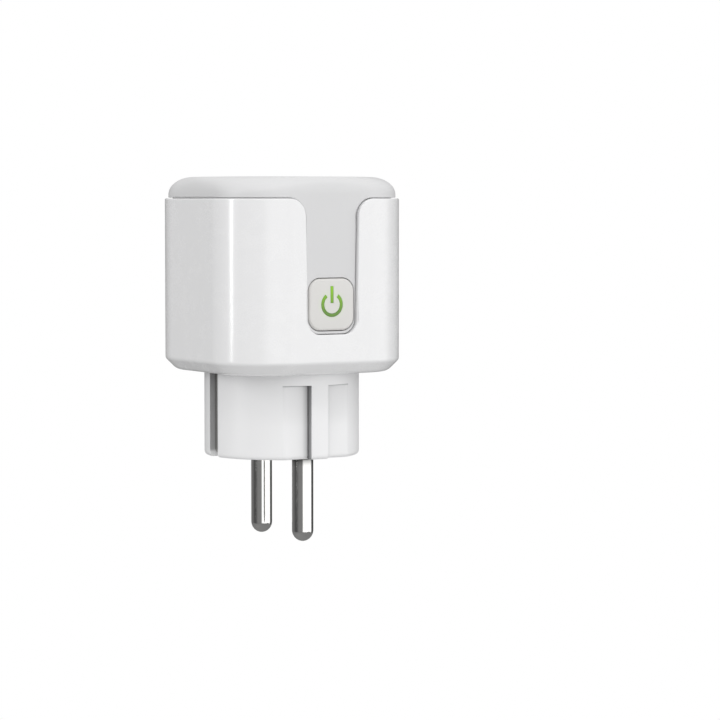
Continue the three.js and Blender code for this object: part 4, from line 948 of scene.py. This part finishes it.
def sign_strokes(name, extra, front, back):
    """The power sign's two strokes, each a rounded section carried along its line."""
    width = SIGN_STROKE + 2 * extra
    depth = back - front
    section = rounded_rectangle(width, depth, 0.08 if extra == 0 else 0.02)
    y = BUTTON_FACE_Y + (front + back) / 2
    angle = np.linspace(math.pi / 2 + SIGN_OPENING, math.pi / 2 - SIGN_OPENING + TAU, 73)
    radial = at(np.cos(angle), 0.0, np.sin(angle))
    ring_path = at(SIGN_RADIUS * np.cos(angle), y, BUTTON_Z + SIGN_RADIUS * np.sin(angle))
    ring = swept(f"{name}_ring", ring_path, radial, section)
    heights = np.linspace(SIGN_BAR[0] - extra, SIGN_BAR[1] + extra, 9)
    bar = swept(f"{name}_bar", at(0.0, y, BUTTON_Z + heights), (1, 0, 0), section)
    return [ring, bar]


place(button_cap(), button_plastic, "button", "button_plastic", ["power_button"])
for stroke in sign_strokes("power_sign", 0.0, -0.015, 0.4):
    place(stroke, sign_green, "button", "green_light", ["power_symbol"])


# ---------------------------------------------------------------- shutter spring

spring_low, spring_high = corners_mm("shutter_spring")


def shutter_spring():
    """The shutter's return spring: a round wire that winds about a level line at an even pitch."""
    wire, turns = 0.2, 7
    middle = (spring_low + spring_high) / 2
    radius = (spring_high[2] - spring_low[2]) / 2 - wire
    turn = np.linspace(0, TAU * turns, turns * 24 + 1)
    out = at(0.0, np.cos(turn), np.sin(turn))
    line = at(np.linspace(spring_low[0] + wire, spring_high[0] - wire, len(turn)), middle[1], middle[2])
    section = rounded_rectangle(2 * wire, 2 * wire, wire * 0.95)
    return swept("shutter_spring_wire", line + radius * out, out, section)


coil = place(shutter_spring(), steel, slot="steel", stands_for=["shutter_spring"])
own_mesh(coil)


# ---------------------------------------------------------------- finishes of the inner parts

INNER = {
    nylon: ["pin_shutter", "contact_carrier", "switch_plunger", "fusible_resistor"],
    brass: ["line_contact", "neutral_contact", "relay_fixed_contact"],
    steel: ["carrier_screw_1", "carrier_screw_2", "relay_yoke", "relay_armature", "wifi_shield"],
    nickel_strip: ["earth_strap", "earth_link"],
    board_green: ["switch_board", "main_board", "wifi_board"],
    copper: ["line_busbar", "load_busbar", "neutral_busbar", "current_shunt", "relay_coil"],
    black_case: ["switch_body", "relay_base", "bulk_capacitor", "output_capacitor"],
    blue_case: ["relay_cover", "surge_varistor"],
    ferrite: ["transformer_core"],
    yellow_tape: ["transformer_winding", "status_led"],
    button_plastic: ["button_pusher"],
}
for finish, nodes in INNER.items():
    for node in nodes:
        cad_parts[node].data.materials.clear()
        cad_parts[node].data.materials.append(finish)


# ---------------------------------------------------------------- studio and camera


def panel(name, azimuth, elevation, distance, size, power):
    """A soft light that faces the plug; azimuth 0 is in front, and positive is to the right."""
    a, e = math.radians(azimuth), math.radians(elevation)
    way = Vector((math.sin(a) * math.cos(e), -math.cos(a) * math.cos(e), math.sin(e)))
    light = bpy.data.lights.new(name, "AREA")
    light.shape = "RECTANGLE"
    light.size, light.size_y = size
    light.energy = power
    lamp = bpy.data.objects.new(name, light)
    lamp.location = Vector((0, 0, 0.025)) + way * distance
    lamp.rotation_euler = way.to_track_quat("Z", "Y").to_euler()
    lamp.visible_camera = False
    bpy.context.scene.collection.objects.link(lamp)


def floor():
    """A plain pale floor well below the plug: white from the camera, and deeper in reflections."""
    size = 1300.0
    drop = 450.0
    z = pin_low[2] - drop
    corners = [(-size, -size, z), (size, -size, z), (size, size, z), (-size, size, z)]
    plane = mesh_object("studio_floor", corners, [(0, 1, 2, 3)])
    finish = Finish("pale_floor", 0.9, specular=0.0)
    rays = finish.node("ShaderNodeLightPath", {}, {}).outputs
    pale = finish.blend((0.60, 0.60, 0.60), (0.62, 0.62, 0.62), finish.noise(300.0))
    finish.feed("Base Color", finish.blend(pale, (0.24, 0.24, 0.24), rays["Is Glossy Ray"]))
    finish.feed("Emission Color", finish.blend((0, 0, 0), (1, 1, 1), rays["Is Camera Ray"]))
    finish.shader.inputs["Emission Strength"].default_value = 1.0
    plane.data.materials.append(finish.material)


def surroundings():
    """A soft room: a bright ceiling, a broad bright side to the camera's right, and dimmer sides beyond it.

    The side to the camera's left is dimmer in reflections than it is as matte light.
    """
    world = bpy.data.worlds.new("studio")
    bpy.context.scene.world = world
    world.use_nodes = True
    tree = world.node_tree
    nodes, links = tree.nodes, tree.links
    place = nodes.new("ShaderNodeTexCoord").outputs["Generated"]
    split = nodes.new("ShaderNodeSeparateXYZ")
    links.new(place, split.inputs[0])
    x, y, z = (Value(tree, split.outputs[i]) for i in range(3))
    azimuth = x.math("ARCTAN2", x, y * -1.0) * (180 / math.pi)

    def step(value, start, end):
        """A smooth rise from 0 to 1 between two values."""
        share = ((value - start) * (1 / (end - start))).clamp()
        return share * share * (3.0 - 2.0 * share)

    bright = step(azimuth, -34.0, -20.0) * (1.0 - step(azimuth, 68.0, 84.0))
    rear = (1.0 - step(azimuth, -150.0, -104.0)) + step(azimuth, 100.0, 150.0)
    middle = step(azimuth, -98.0, -66.0) * (1.0 - step(azimuth, -34.0, -20.0))
    path = nodes.new("ShaderNodeLightPath")
    matte = 1.0 - Value(tree, path.outputs["Is Glossy Ray"])
    side = 0.06 + bright * 1.32 + rear * 0.12 + middle * (0.16 + matte * 0.4)
    up = step(z, 0.2, 0.55)
    glow = side * (1.0 - up) + up * 0.9
    shade = nodes["Background"]
    links.new(glow.socket, shade.inputs["Strength"])
    shade.inputs["Color"].default_value = (1, 1, 1, 1)
    seen = nodes.new("ShaderNodeBackground")
    seen.inputs["Color"].default_value = (1, 1, 1, 1)
    choose = nodes.new("ShaderNodeMixShader")
    links.new(path.outputs["Is Camera Ray"], choose.inputs[0])
    links.new(shade.outputs[0], choose.inputs[1])
    links.new(seen.outputs[0], choose.inputs[2])
    links.new(choose.outputs[0], nodes["World Output"].inputs["Surface"])


def camera():
    """A long lens from the front left, a little above the plug's middle."""
    azimuth, elevation = math.radians(31.016), math.radians(3.443)
    distance, across, height, focal_width = 605.2, 17.756, 21.163, 3.71
    way = Vector((-math.sin(azimuth) * math.cos(elevation), -math.cos(azimuth) * math.cos(elevation),
                  math.sin(elevation)))
    target = Vector((across * math.cos(azimuth), -across * math.sin(azimuth), height))
    lens = bpy.data.cameras.new("camera")
    lens.sensor_width = 36
    lens.lens = 36 * focal_width
    lens.clip_start, lens.clip_end = 0.01, 50
    eye = bpy.data.objects.new("camera", lens)
    eye.location = (target + way * distance) * MM
    eye.rotation_euler = way.to_track_quat("Z", "Y").to_euler()
    bpy.context.scene.collection.objects.link(eye)
    bpy.context.scene.camera = eye


floor()
surroundings()
camera()
panel("left_strip", -94, 15.7, 0.73, (0.07, 0.5), 1.4)
panel("overhead_strip", 5, 60, 0.7, (1.0, 0.05), 0.8)

bpy.context.scene.view_settings.view_transform = "Standard"
